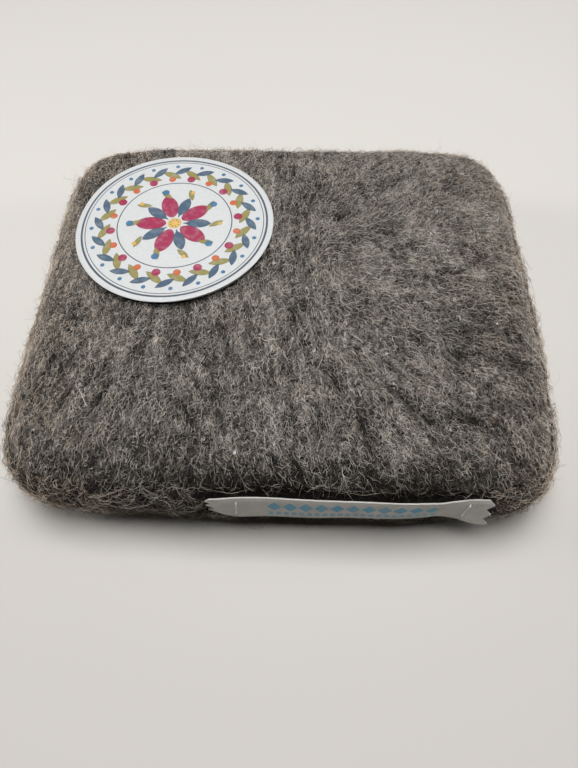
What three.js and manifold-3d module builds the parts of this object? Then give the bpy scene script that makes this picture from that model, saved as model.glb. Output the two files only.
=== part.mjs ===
// Needle felting mat: a thick felted wool block with a round sticker on its work face and a tape label on its front.
// Millimetres, +X to the right, +Y to the back, +Z up. The block stands on z = 0, centred over the origin.
import * as THREE from "three";
import { mergeVertices } from "three/addons/utils/BufferGeometryUtils.js";
import Module from "manifold-3d";

const wasm = await Module();
wasm.setup();

// Wool block
const matWidth = 175;
const matDepth = 150;
const matHeight = 35;
const planPower = 7.9; // 2 would be an ellipse, a high power a rectangle
const edgePower = 2.4; // the same, for the rounded edge seen from the side
const edgeRun = 16; // how far the rounding runs in from the front outline
const crownRise = 1.2; // how much the work face swells above its rim

// Layers of the wool
const skinThickness = 4; // top and base skins
const wrapThickness = 6; // edge wrap, measured in from the front
const wrapLow = 6; // heights between which the edge wrap shows
const wrapHigh = matHeight - wrapLow;
const coreBatts = 6;
const layerGap = 0.1; // between faces that lie on each other
const sideGap = 0.3; // between the core and the wool round it

// Sticker
const stickerDiameter = 71.5;
const stickerLeft = 11.7; // from the block's left outline to the sticker's rim
const stickerBack = 14.2; // the same at the back
const stickerThickness = 0.25;
const adhesiveThickness = 0.1;
const adhesiveMargin = 0.5; // bare paper round the adhesive
const stickerGap = 0.15; // between the layers and over the wool

// Tape label on the front side
const tapeLength = 84.5;
const tapeWidth = 13;
const tapeThickness = 0.6;
const tapeRight = 24.2; // from the block's right outline to the tape's end
const tapeLow = 14; // height of its lower edge
const tapeGap = 0.3; // between the tape and the wool behind it
const seatMargin = 0.6; // room round the tape in the hollow that its stitches draw in
const seatReach = 6; // how far the cutter for that hollow stands out
const pinkPitch = 5; // of the teeth that the shears leave at its ends
const pinkDepth = 2.2;
const leftTooth = 2; // height of the lowest tooth's tip at each end
const rightTooth = 0.6;

// Thread stitches that hold the tape
const threadRadius = 0.35;
const threadGap = 0.3; // room round the thread in the tape and the wool
const threadDepth = 4; // how deep its tails go into the wool
const tailTurn = 1; // how far a tail's end turns towards the other
const leftInset = 8.8; // from the tape's ends to the stitches' lower holes
const rightInset = 7.8;
const stitchLow = 3.2; // heights on the tape, from its lower edge
const stitchHigh = 11;
const stitchSlant = 0.6; // each stitch leans this far along the tape

// Steps that the round forms are drawn with
const outlineSteps = 72;
const cornerShare = 0.6; // below 1, outline points crowd towards the corners
const edgeSteps = 7;
const crownSteps = 3;
const discRings = 6;
const discSteps = 48;
const threadSides = 6;
const threadSteps = 24;

const halfWidth = matWidth / 2;
const halfDepth = matDepth / 2;
const halfHeight = matHeight / 2;
const rimScale = 1 - edgeRun / halfDepth; // size of the flat faces, as a share of the outline
const stickerRadius = stickerDiameter / 2;
const stickerX = stickerRadius + stickerLeft - halfWidth;
const stickerY = halfDepth - stickerBack - stickerRadius;

// Share of the outline that a point of the plan lies on: 0 at the centre, 1 on the outline.
function planShare(x, y) {
  const across = Math.abs(x / halfWidth) ** planPower;
  const along = Math.abs(y / halfDepth) ** planPower;
  return (across + along) ** (1 / planPower);
}

// Height of the rounded edge, 0 at mid height and 1 at its flat face, for a share of the outline.
function edgeRise(share) {
  const run = Math.max(share - rimScale, 0) / (1 - rimScale);
  return (1 - run ** edgePower) ** (1 / edgePower);
}

// Share of the outline that the side has at a height.
function sideShare(z) {
  const rise = Math.abs(z - halfHeight) / halfHeight;
  return rimScale + (1 - rimScale) * (1 - rise ** edgePower) ** (1 / edgePower);
}

function faceHeight(share) {
  const crown = crownRise * (1 - share ** 2);
  return halfHeight + (halfHeight - crownRise) * edgeRise(share) + crown;
}

// Points of the plan outline at a share of its size.
function outlinePoints(share) {
  const points = [];
  for (let step = 0; step < outlineSteps; step++) {
    const angle = (2 * Math.PI * step) / outlineSteps;
    const cos = Math.cos(angle);
    const sin = Math.sin(angle);
    const x = halfWidth * Math.sign(cos) * Math.abs(cos) ** cornerShare;
    const y = halfDepth * Math.sign(sin) * Math.abs(sin) ** cornerShare;
    const scale = share / planShare(x, y);
    points.push([x * scale, y * scale]);
  }
  return points;
}

// A closed surface from rings of equal length, listed upwards or inwards, with a point closing each end.
function lidded(rings, first, last) {
  const count = rings[0].length;
  const positions = [first, ...rings.flat(), last].flat();
  const top = 1 + rings.length * count;
  const faces = [];
  for (let step = 0; step < count; step++) {
    const next = (step + 1) % count;
    faces.push(0, 1 + next, 1 + step);
    for (let ring = 0; ring < rings.length - 1; ring++) {
      const low = 1 + ring * count;
      const high = low + count;
      faces.push(low + step, low + next, high + next);
      faces.push(low + step, high + next, high + step);
    }
    faces.push(top - count + step, top - count + next, top);
  }
  const geometry = new THREE.BufferGeometry();
  geometry.setAttribute("position", new THREE.Float32BufferAttribute(positions, 3));
  return geometry.setIndex(faces);
}

function solidOf(geometry) {
  const bare = new THREE.BufferGeometry();
  const loose = geometry.index ? geometry.toNonIndexed() : geometry;
  bare.setAttribute("position", loose.getAttribute("position"));
  const merged = mergeVertices(bare, 1e-4);
  const mesh = new wasm.Mesh({
    numProp: 3,
    vertProperties: new Float32Array(merged.getAttribute("position").array),
    triVerts: new Uint32Array(merged.index.array),
  });
  return new wasm.Manifold(mesh);
}

function geometryOf(solid) {
  const mesh = solid.getMesh();
  const geometry = new THREE.BufferGeometry();
  geometry.setAttribute("position", new THREE.BufferAttribute(mesh.vertProperties, 3));
  return geometry.setIndex(new THREE.BufferAttribute(mesh.triVerts, 1));
}

// The whole block, from the base up over the side to the crowned work face.
function blockSolid() {
  const rings = [];
  const addRing = (share, z) => rings.push(outlinePoints(share).map(([x, y]) => [x, y, z]));
  const edgeShare = (step) => {
    const turn = Math.cos((Math.PI / 2) * (step / edgeSteps));
    return rimScale + (1 - rimScale) * turn ** (2 / edgePower);
  };
  for (let step = edgeSteps; step > 0; step--) {
    const share = edgeShare(step);
    addRing(share, halfHeight * (1 - edgeRise(share)));
  }
  for (let step = 0; step <= edgeSteps; step++) {
    const share = edgeShare(step);
    addRing(share, faceHeight(share));
  }
  for (let step = crownSteps; step > 0; step--) {
    const share = (rimScale * step) / (crownSteps + 1);
    addRing(share, faceHeight(share));
  }
  return solidOf(lidded(rings, [0, 0, 0], [0, 0, faceHeight(0)]));
}

// Heights of the faces between the core's batts, from the base skin to the top skin.
const coreLow = skinThickness;
const coreHigh = matHeight - skinThickness;
const battHeight = (coreHigh - coreLow) / coreBatts;
const battFaces = Array.from({ length: coreBatts + 1 }, (_, face) => coreLow + battHeight * face);

function coreRing(z, levelZ, gap) {
  const share = sideShare(z) - (wrapThickness + gap) / halfDepth;
  return outlinePoints(share).map(([x, y]) => [x, y, levelZ]);
}

function coreHollow() {
  const rings = battFaces.map((z) => coreRing(z, z, 0));
  return solidOf(lidded(rings, [0, 0, coreLow], [0, 0, coreHigh]));
}

function battGeometry(index) {
  const low = battFaces[index];
  const high = battFaces[index + 1];
  const lowZ = low + layerGap / 2;
  const highZ = high - layerGap / 2;
  const rings = [coreRing(low, lowZ, sideGap), coreRing(high, highZ, sideGap)];
  return lidded(rings, [0, 0, lowZ], [0, 0, highZ]);
}

// A disc that follows the work face, from one height over it to another.
function discGeometry(radius, underside, thickness) {
  const rings = [];
  const point = (share, angle, lift) => {
    const x = stickerX + radius * share * Math.cos(angle);
    const y = stickerY + radius * share * Math.sin(angle);
    return [x, y, faceHeight(planShare(x, y)) + lift];
  };
  const addRing = (share, lift) => {
    const ring = [];
    for (let step = 0; step < discSteps; step++) {
      ring.push(point(share, (2 * Math.PI * step) / discSteps, lift));
    }
    rings.push(ring);
  };
  for (let ring = 1; ring <= discRings; ring++) {
    addRing(ring / discRings, underside);
  }
  for (let ring = discRings; ring > 0; ring--) {
    addRing(ring / discRings, underside + thickness);
  }
  return lidded(rings, point(0, 0, underside), point(0, 0, underside + thickness));
}

// The label's own frame: along the tape, up the tape, and outwards from the wool.
const tapeHigh = tapeLow + tapeWidth;
const tapeLean = halfDepth * (sideShare(tapeLow) - sideShare(tapeHigh));
const tapeTilt = Math.asin(tapeLean / tapeWidth);
const labelPlace = new THREE.Matrix4()
  .makeRotationX(Math.PI / 2 - tapeTilt)
  .setPosition(halfWidth - tapeRight - tapeLength, -halfDepth * sideShare(tapeLow), tapeLow);

const stitches = [
  { name: "stitch_left", foot: leftInset },
  { name: "stitch_right", foot: tapeLength - rightInset },
];

// Corners of a pinked end, from the tape's lower edge up: how high each is, and how far back from the tips' line.
function pinkedEnd(lowestTip) {
  const half = pinkPitch / 2;
  const heights = [0];
  for (let height = lowestTip % half; height < tapeWidth; height += half) {
    heights.push(height);
  }
  heights.push(tapeWidth);
  return heights.map((height) => {
    const halves = Math.abs(height - lowestTip) / half;
    return { height, depth: pinkDepth * (1 - Math.abs(1 - (halves % 2))) };
  });
}

function tapeGeometry() {
  const points = [];
  for (const { height, depth } of pinkedEnd(rightTooth)) {
    points.push(new THREE.Vector2(tapeLength - depth, height));
  }
  for (const { height, depth } of pinkedEnd(leftTooth).reverse()) {
    points.push(new THREE.Vector2(depth, height));
  }
  const shape = new THREE.Shape(points);
  for (const { foot } of stitches) {
    for (const [x, y] of [[foot, stitchLow], [foot + stitchSlant, stitchHigh]]) {
      const hole = new THREE.Path();
      hole.absarc(x, y, threadRadius + threadGap, 0, 2 * Math.PI, true);
      shape.holes.push(hole);
    }
  }
  const options = { depth: tapeThickness, bevelEnabled: false, curveSegments: threadSides };
  const geometry = new THREE.ExtrudeGeometry(shape, options);
  return geometry.translate(0, 0, tapeGap).applyMatrix4(labelPlace);
}

// The hollow that the stitches draw into the wool behind the tape.
function seatSolid() {
  const shape = new THREE.Shape([
    new THREE.Vector2(-seatMargin, -seatMargin),
    new THREE.Vector2(tapeLength + seatMargin, -seatMargin),
    new THREE.Vector2(tapeLength + seatMargin, tapeWidth + seatMargin),
    new THREE.Vector2(-seatMargin, tapeWidth + seatMargin),
  ]);
  const geometry = new THREE.ExtrudeGeometry(shape, { depth: seatReach, bevelEnabled: false });
  return solidOf(geometry.applyMatrix4(labelPlace));
}

// A thread's route: a tail in the wool, up through the tape, over its face, down again to the other tail.
function threadGeometry({ foot }, radius, extraDepth) {
  const over = tapeGap + tapeThickness + threadRadius + layerGap;
  const deep = -threadDepth - extraDepth;
  const lean = stitchSlant / (stitchHigh - stitchLow);
  const at = (height, out) => new THREE.Vector3(foot + lean * (height - stitchLow), height, out);
  const route = new THREE.CurvePath();
  const low = [at(stitchLow + tailTurn, deep), at(stitchLow, deep / 2), at(stitchLow, over)];
  const high = [at(stitchHigh, over), at(stitchHigh, deep / 2), at(stitchHigh - tailTurn, deep)];
  const points = [...low, ...high];
  points.slice(1).forEach((point, leg) => route.add(new THREE.LineCurve3(points[leg], point)));
  const bend = new THREE.CatmullRomCurve3(route.getSpacedPoints(threadSteps));
  const section = [];
  for (let side = 0; side < threadSides; side++) {
    const angle = (2 * Math.PI * side) / threadSides;
    section.push(new THREE.Vector2(radius * Math.cos(angle), radius * Math.sin(angle)));
  }
  const options = { steps: threadSteps, extrudePath: bend, bevelEnabled: false };
  const geometry = new THREE.ExtrudeGeometry(new THREE.Shape(section), options);
  return geometry.applyMatrix4(labelPlace);
}

// The wool round the core, cut at two heights into its skins and its wrap.
const shell = blockSolid().subtract(coreHollow());
const up = [0, 0, 1];
const down = [0, 0, -1];
const topSkin = shell.trimByPlane(up, wrapHigh + layerGap / 2);
const baseSkin = shell.trimByPlane(down, -(wrapLow - layerGap / 2));
let edgeWrap = shell.trimByPlane(up, wrapLow + layerGap / 2);
edgeWrap = edgeWrap.trimByPlane(down, -(wrapHigh - layerGap / 2));
edgeWrap = edgeWrap.subtract(seatSolid());
for (const stitch of stitches) {
  const tunnel = solidOf(threadGeometry(stitch, threadRadius + threadGap, threadGap));
  edgeWrap = edgeWrap.subtract(tunnel);
}

const part = new THREE.Group();
const mat = new THREE.Group();
part.add(mat);

function addPiece(name, geometry, color, roughness) {
  const material = new THREE.MeshStandardMaterial({ color, roughness, flatShading: true });
  const mesh = new THREE.Mesh(geometry, material);
  mesh.name = name;
  mat.add(mesh);
}

addPiece("base_skin", geometryOf(baseSkin), "#625b56", 1);
addPiece("edge_wrap", geometryOf(edgeWrap), "#6b635d", 1);
addPiece("top_skin", geometryOf(topSkin), "#736c66", 1);
for (let index = 0; index < coreBatts; index++) {
  addPiece(`core_batt_${index + 1}`, battGeometry(index), index % 2 ? "#8a8178" : "#7c746c", 1);
}
const adhesiveRadius = stickerRadius - adhesiveMargin;
addPiece("sticker_adhesive", discGeometry(adhesiveRadius, stickerGap, adhesiveThickness), "#d8d4c4", 0.5);
const faceLift = stickerGap + adhesiveThickness + layerGap;
addPiece("sticker_face", discGeometry(stickerRadius, faceLift, stickerThickness), "#f2f1ee", 0.45);
addPiece("label_tape", tapeGeometry(), "#d9d5cd", 0.9);
for (const stitch of stitches) {
  addPiece(stitch.name, threadGeometry(stitch, threadRadius, 0), "#f4f2ec", 0.8);
}

// The label stands out at the front, so the part is moved back until its box is centred.
const box = new THREE.Box3().setFromObject(mat);
mat.position.y = -(box.min.y + box.max.y) / 2;

export default part;
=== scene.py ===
"""Dressing of a needle felting mat: felted wool skins under a nap of single fibres, a printed round sticker
and a sewn tape label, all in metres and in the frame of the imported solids."""
import math

import bmesh
import bpy
import numpy as np
from mathutils import Matrix, Vector, noise


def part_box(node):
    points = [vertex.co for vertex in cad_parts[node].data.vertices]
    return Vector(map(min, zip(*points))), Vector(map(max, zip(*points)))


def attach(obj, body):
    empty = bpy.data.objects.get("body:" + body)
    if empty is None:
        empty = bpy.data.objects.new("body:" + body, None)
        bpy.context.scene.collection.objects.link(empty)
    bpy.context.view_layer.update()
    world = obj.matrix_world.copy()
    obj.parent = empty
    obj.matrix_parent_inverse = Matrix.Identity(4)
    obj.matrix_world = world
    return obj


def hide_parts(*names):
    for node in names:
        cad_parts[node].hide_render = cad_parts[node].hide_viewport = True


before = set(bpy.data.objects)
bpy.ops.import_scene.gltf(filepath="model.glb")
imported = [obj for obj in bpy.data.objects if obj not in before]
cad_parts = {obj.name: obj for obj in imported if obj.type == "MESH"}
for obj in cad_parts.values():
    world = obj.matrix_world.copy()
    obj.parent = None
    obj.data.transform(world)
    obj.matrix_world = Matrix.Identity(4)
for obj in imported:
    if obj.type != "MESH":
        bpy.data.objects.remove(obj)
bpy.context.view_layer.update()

mm = 0.001

# The wool block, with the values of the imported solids
plan_power = 7.9
edge_power = 2.4
edge_run = 16 * mm
crown_rise = 1.2 * mm
skin_thickness = 4 * mm
wrap_thickness = 6 * mm
wrap_low = 6 * mm
core_batts = 6
layer_gap = 0.1 * mm
side_gap = 0.3 * mm
wrap_lo, wrap_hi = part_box("edge_wrap")
half_width = (wrap_hi.x - wrap_lo.x) / 2
half_depth = (wrap_hi.y - wrap_lo.y) / 2
middle_y = (wrap_hi.y + wrap_lo.y) / 2
block_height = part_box("top_skin")[1].z
half_height = block_height / 2
wrap_high = block_height - wrap_low
rim_scale = 1 - edge_run / half_depth

# How finely the skins are drawn, and the closer samples that they are spread from
outline_samples = 4001
corner_crowding = 0.6
edge_samples = 2001
flat_samples = 200
outline_steps = 420
base_step = 3 * mm
side_step = 0.9 * mm
top_step = 0.95 * mm
centre_share = 0.012

# The felted surface: the size of its lumps, how far its ends swell, and how it is drawn in round the label
lump_size = 24 * mm
small_lump_size = 8 * mm
right_swell = 0.85 * mm
left_swell = 0.75 * mm
seat_depth = 0.5 * mm
groove_depth = 1.3 * mm
groove_width = 1.4 * mm

# The sticker
sticker_lo, sticker_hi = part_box("sticker_face")
sticker_x = (sticker_lo.x + sticker_hi.x) / 2
sticker_y = (sticker_lo.y + sticker_hi.y) / 2
sticker_radius = (sticker_hi.x - sticker_lo.x) / 2
sticker_lift = 0.35 * mm
sticker_thickness = 0.25 * mm
sticker_steps = 160
sticker_soft = 0.06 * mm
loose_lift = 1.2 * mm
loose_turn = -0.9
loose_spread = 0.75

# The tape label
tape_length = 84.5 * mm
tape_width = 13 * mm
tape_right = 24.2 * mm
tape_low = 14 * mm
tape_gap = 0.3 * mm
tape_thickness = 0.45 * mm
pink_pitch = 5 * mm
pink_depth = 2.2 * mm
left_tooth = 2 * mm
right_tooth = 1.0 * mm
left_inset = 8.8 * mm
right_inset = 7.8 * mm
stitch_low = 3.2 * mm
stitch_high = 11 * mm
stitch_slant = 0.6 * mm
thread_width = 0.55 * mm
stitch_feet = {"stitch_left": left_inset, "stitch_right": tape_length - right_inset}

# Where along the tape its bend changes
tuck_run = 12 * mm
corner_run = 6 * mm
bow_start, bow_full = 14.5 * mm, 30.5 * mm
swell_place, swell_width = 58.5 * mm, 11 * mm
lean_start, lean_full = 66.5 * mm, 79.5 * mm
pinch_place, pinch_width = 72 * mm, 6 * mm
flare_start, flare_run = 75.5 * mm, 9 * mm


def smooth(value, low, high):
    """0 below low and 1 above high, with a soft step between them."""
    share = np.clip((value - low) / (high - low), 0, 1)
    return share * share * (3 - 2 * share)


def between(value, low, low_full, high_full, high):
    """1 from low_full to high_full, fading to 0 at low and at high."""
    return smooth(value, low, low_full) * (1 - smooth(value, high_full, high))


def bump(value, centre, width):
    """1 at the centre, fading out over the width on both sides."""
    return np.exp(-(((value - centre) / width) ** 2))


def plan_share(x, y):
    """How far out a place lies, as a share of the block's outline."""
    across = (np.abs(x) / half_width) ** plan_power
    along = (np.abs(y - middle_y) / half_depth) ** plan_power
    return (across + along) ** (1 / plan_power)


def edge_rise(share):
    """Rise of the rounded edge at a share of the outline: 1 on the face, 0 at the widest place."""
    run = np.clip((share - rim_scale) / (1 - rim_scale), 0, 1)
    return (1 - run**edge_power) ** (1 / edge_power)


def side_share(z):
    """The outline of the rounded side at a height, as a share of the widest one."""
    rise = abs(z - half_height) / half_height
    return rim_scale + (1 - rim_scale) * (1 - rise**edge_power) ** (1 / edge_power)


def face_height(share):
    """Height of the work face and its edge at a share of the outline."""
    return half_height + (half_height - crown_rise) * edge_rise(share) + crown_rise * (1 - share**2)


def resampled(points, count):
    """Points of a polyline, spread evenly along it."""
    points = np.asarray(points, float)
    legs = np.linalg.norm(np.diff(points, axis=0), axis=1)
    run = np.concatenate([[0], np.cumsum(legs)])
    places = np.linspace(0, run[-1], count)
    return np.stack([np.interp(places, run, column) for column in points.T], 1)


def plan_outline(steps):
    """The block's outline round its middle, evenly stepped."""
    angles = np.linspace(0, 2 * math.pi, outline_samples)
    x = half_width * np.sign(np.cos(angles)) * np.abs(np.cos(angles)) ** corner_crowding
    y = half_depth * np.sign(np.sin(angles)) * np.abs(np.sin(angles)) ** corner_crowding
    scale = 1 / plan_share(x, y + middle_y)
    return resampled(np.stack([x * scale, y * scale], 1), steps + 1)[:-1]


def block_profile():
    """Three runs of (share of the outline, height): over the base, up the side, and over the top."""
    turns = np.linspace(-math.pi / 2, math.pi / 2, edge_samples)
    shares = rim_scale + (1 - rim_scale) * np.cos(turns).clip(0) ** (2 / edge_power)
    rises = np.abs(np.sin(turns)) ** (2 / edge_power)
    lower = half_height * (1 - rises)
    upper = half_height + (half_height - crown_rise) * rises + crown_rise * (1 - shares**2)
    heights = np.where(turns < 0, lower, upper)
    flat = np.linspace(centre_share, rim_scale, flat_samples)
    crown = flat[::-1]
    share = np.concatenate([flat[:-1], shares, crown[1:]])
    height = np.concatenate([np.zeros(flat_samples - 1), heights, face_height(crown[1:])])
    cuts = [0]
    for level in (wrap_low, wrap_high):
        cuts.append(flat_samples + int(np.argmin(np.abs(heights - level))))
    cuts.append(len(share) - 1)
    runs = []
    for first, last, step in zip(cuts, cuts[1:], (base_step, side_step, top_step)):
        line = np.stack([share[first : last + 1] * half_depth, height[first : last + 1]], 1)
        length = np.linalg.norm(np.diff(line, axis=0), axis=1).sum()
        run = resampled(line, int(length / step) + 2)
        runs.append([(radius / half_depth, z) for radius, z in run])
    return runs


# The label's own frame: along the tape, up the tape, and out from the wool
tape_high = tape_low + tape_width
tape_tilt = math.asin(half_depth * (side_share(tape_low) - side_share(tape_high)) / tape_width)
label_left = half_width - tape_right - tape_length
label_front = middle_y - half_depth * side_share(tape_low)
label_corner = np.array([label_left, label_front, tape_low])
label_along = np.array([1.0, 0.0, 0.0])
label_up = np.array([0.0, math.sin(tape_tilt), math.cos(tape_tilt)])
label_out = np.array([0.0, -math.cos(tape_tilt), math.sin(tape_tilt)])


def label_point(along, up, out):
    """A place in the label's own frame, as a place in the scene."""
    return label_corner + along * label_along + up * label_up + out * label_out


def stitch_line(foot, up):
    """Place along the tape of a slanting stitch at a height on it."""
    return foot + stitch_slant * (up - stitch_low) / (stitch_high - stitch_low)


def tape_bend(along, up):
    """How far the tape's back stands out from its flat place.

    It tucks in at its left end, bows between its stitches, flares at its right foot and rolls back along its
    top. The weights of the foot, the head and the wave are in mm.
    """
    rise = np.clip(up / tape_width, 0, 1)
    tuck = 1 - smooth(along, 0, tuck_run)
    corner = 1 - smooth(along, 0, corner_run)
    bow = smooth(along, bow_start, bow_full)
    pinch = bump(along, pinch_place, pinch_width)
    flare = np.clip((along - flare_start) / flare_run, 0, 1)
    foot = -1.35 * tuck - 0.8 * corner - 0.45 * bow - 1.05 * pinch + 1.2 * flare
    swell = bump(along, swell_place, swell_width)
    lean = smooth(along, lean_start, lean_full)
    head = 0.45 + 0.55 * tuck - 0.28 * (1 - bow) + 0.72 * swell - 1.35 * lean
    roll = -0.4 * smooth(rise, 0.9, 1.0)
    wave = 0.22 * np.sin(along / (4.1 * mm) + 0.6) * (1 - rise)
    wave = wave + 0.18 * np.sin(along / (6.7 * mm) + 2) + roll
    held = between(up, 2 * mm, 5 * mm, 8 * mm, 11 * mm)
    for stitch_foot in stitch_feet.values():
        wave = wave - 0.4 * held * bump(along, stitch_line(stitch_foot, up), 1.4 * mm)
    return tape_gap + mm * (foot * (1 - rise) + head * rise + wave)


# How far one seed's noise lies from the next one's
seed_shift = 7.3, 3.1, 5.7


def lumps(points, size, seed):
    """Soft noise of about -1 to 1 at each point."""
    shift = Vector([seed * step for step in seed_shift])
    flat = points.reshape(-1, 3) / size
    values = [noise.noise(Vector(point) + shift) for point in flat]
    return np.array(values).reshape(points.shape[:-1])


# Pits and furrows of the work face: from, to, half width and depth, in mm
wool_dents = [
    ((8.6, 3.4), (9.1, 4.4), 1.1, 2.4),
    ((18.0, 30.6), (20.2, 29.6), 1.0, 1.6),
    ((6.4, -11.0), (7.2, -11.6), 1.1, 1.9),
    ((6.2, -25.2), (7.4, -26.8), 0.9, 1.5),
    ((11.4, -33.4), (19.9, -42.0), 0.9, 1.1),
    ((24.0, -28.0), (28.5, -41.0), 0.9, 0.9),
    ((32.0, -40.0), (45.9, -53.1), 0.9, 1.0),
    ((24.1, -51.9), (27.9, -64.3), 1.0, 1.1),
    ((50.4, -51.4), (58.9, -52.8), 1.0, 0.8),
    ((53.2, 5.1), (61.7, 5.2), 1.3, 1.0),
    ((56.0, -28.9), (59.0, -29.5), 1.4, 0.9),
    ((-18.1, -41.0), (-18.0, -57.0), 0.9, 0.6),
    ((-51.5, -40.0), (-55.5, -47.0), 0.8, 1.1),
    ((-55.5, -47.0), (-57.0, -54.0), 0.8, 1.0),
    ((-73.0, -32.0), (-72.0, -35.0), 1.1, 0.6),
]


def dent_depth(x, y):
    """Depth of the pits and furrows at a place."""
    deepest = 0 * x
    place = np.stack([x, y - middle_y], -1) / mm
    for first, last, size, depth in wool_dents:
        line = np.subtract(last, first)
        share = np.clip((place - first) @ line / (line @ line), 0, 1)
        reach = np.linalg.norm(place - first - share[..., None] * line, axis=-1)
        deepest = np.maximum(deepest, depth * mm * bump(reach, 0, size))
    return deepest


def pit_share(points, facing):
    """How much of a pit or furrow each point of the work face lies in."""
    depth = dent_depth(points[..., 0], points[..., 1])
    return smooth(depth, 0.3 * mm, 2.2 * mm) * (facing[..., 2] > 0.3)


# Soft pale and dark patches of the work face: middle and half size in mm, and how much paler
wool_patches = [
    ((60, -20), (22, 22), -0.06),
    ((-22, -45), (8, 6), -0.07),
    ((-64, -31), (8, 7), -0.07),
    ((70, -47), (10, 4), -0.2),
    ((21, 31), (5, 4), -0.2),
    ((36, 26), (5, 6), -0.14),
    ((54, 6), (7, 5), -0.1),
    ((-41, -47), (9, 7), -0.08),
    ((47, -47), (7, 6), -0.14),
    ((50, -51), (8, 3.5), -0.16),
    ((7, 13), (3, 6), -0.12),
    ((56, -31), (8, 6), -0.05),
    ((9, 41), (8, 8), -0.05),
    ((-18, -41), (5, 5), -0.08),
    ((-48, -52), (26, 6), -0.07),
    ((24, -53), (12, 6), -0.07),
    ((-2, -11), (4, 15), 0.17),
    ((53, 18), (6, 6), 0.17),
    ((-45, -26), (6, 7), 0.1),
    ((-2, -34), (5, 6), 0.08),
    ((31, 8), (7, 8), 0.05),
    ((-9, -53), (9, 8), 0.08),
    ((21, -63), (7, 4), 0.07),
    ((-66, -50), (9, 7), 0.16),
    ((-57, -42), (8, 6), 0.06),
    ((-36, 64), (22, 7), 0.13),
    ((9, -61), (6, 5), 0.16),
    ((-22, -61), (7, 5), -0.13),
    ((-1, -71), (6, 4), -0.1),
    ((-21, -71), (6, 4), -0.07),
    ((9, -37), (7, 6), -0.05),
    ((31, -37), (7, 6), -0.06),
]


# On its right half the wool's fibres fan out from here, in mm from the block's middle
fan_x, fan_y = -5, 8
fan_start, fan_full = 5, 28
fan_nearest = 4


def fan_share(x):
    """How far the lay of the left half has turned into the fan of the right half."""
    return smooth(x, fan_start, fan_full)


def fan_angle(x, y):
    """Direction from the fan's middle, in radians."""
    return np.arctan2(y - fan_y, np.maximum(x - fan_x, fan_nearest))


def lay_angle(x, y):
    """Direction of the work face's fibres in degrees: front to back on the left, fanned on the right."""
    left = 90 + 14 * smooth(-y, 0, 60) - 34 * smooth(-y, 10, 50) * smooth(-x, 15, 60)
    turn = np.degrees(fan_angle(x, y))
    turn = np.where(turn < -20, turn + 180, turn)
    share = fan_share(x)
    east = share * np.cos(np.radians(2 * turn)) + (1 - share) * np.cos(np.radians(2 * left))
    north = share * np.sin(np.radians(2 * turn)) + (1 - share) * np.sin(np.radians(2 * left))
    return np.degrees(np.arctan2(north, east)) / 2


# Streaks in the wool: size in mm, seed and weight; how drawn out they are, and their mm per radian of the fan
wool_streaks = [(1.5, 41, 0.65), (3.2, 42, 0.4)]
streak_stretch = 6
fan_spread = 45

# How much paler or darker the parts of the wool are: streaks and furrows are the wool's own; the rest is
# painted shade in pits, before the paper, at the end rims, foot and sole, and painted light on the ends
streak_tone = 0.26
furrow_tone = -0.1
painted_pit_shade_tone = -0.45
painted_end_light_tone = 0.22
painted_end_rim_shade_tone = -0.25
painted_foot_shade_tone = -0.12
painted_sole_shade_tone = -0.35
painted_paper_shadow_tone = -0.4


def streaks(along, across, size, seed):
    """Soft noise drawn out along one direction, from places in mm."""
    return lumps(np.stack([along / streak_stretch, across, 0 * along], -1), size, seed)


def wool_lay(x, y):
    """Streaks that follow the fibres over the work face."""
    slant = 0.25 * np.maximum(-y, 0) - 0.5 * smooth(-x, 15, 60) * np.maximum(-y, 0)
    reach = np.hypot(x - fan_x, y - fan_y)
    swing = fan_spread * fan_angle(x, y)
    share = fan_share(x)
    lay = 0
    for size, seed, weight in wool_streaks:
        left = streaks(y, x - slant, size, seed)
        fanned = streaks(reach, swing, size, seed + 10)
        lay = lay + weight * (left * (1 - share) + fanned * share)
    return lay


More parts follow.
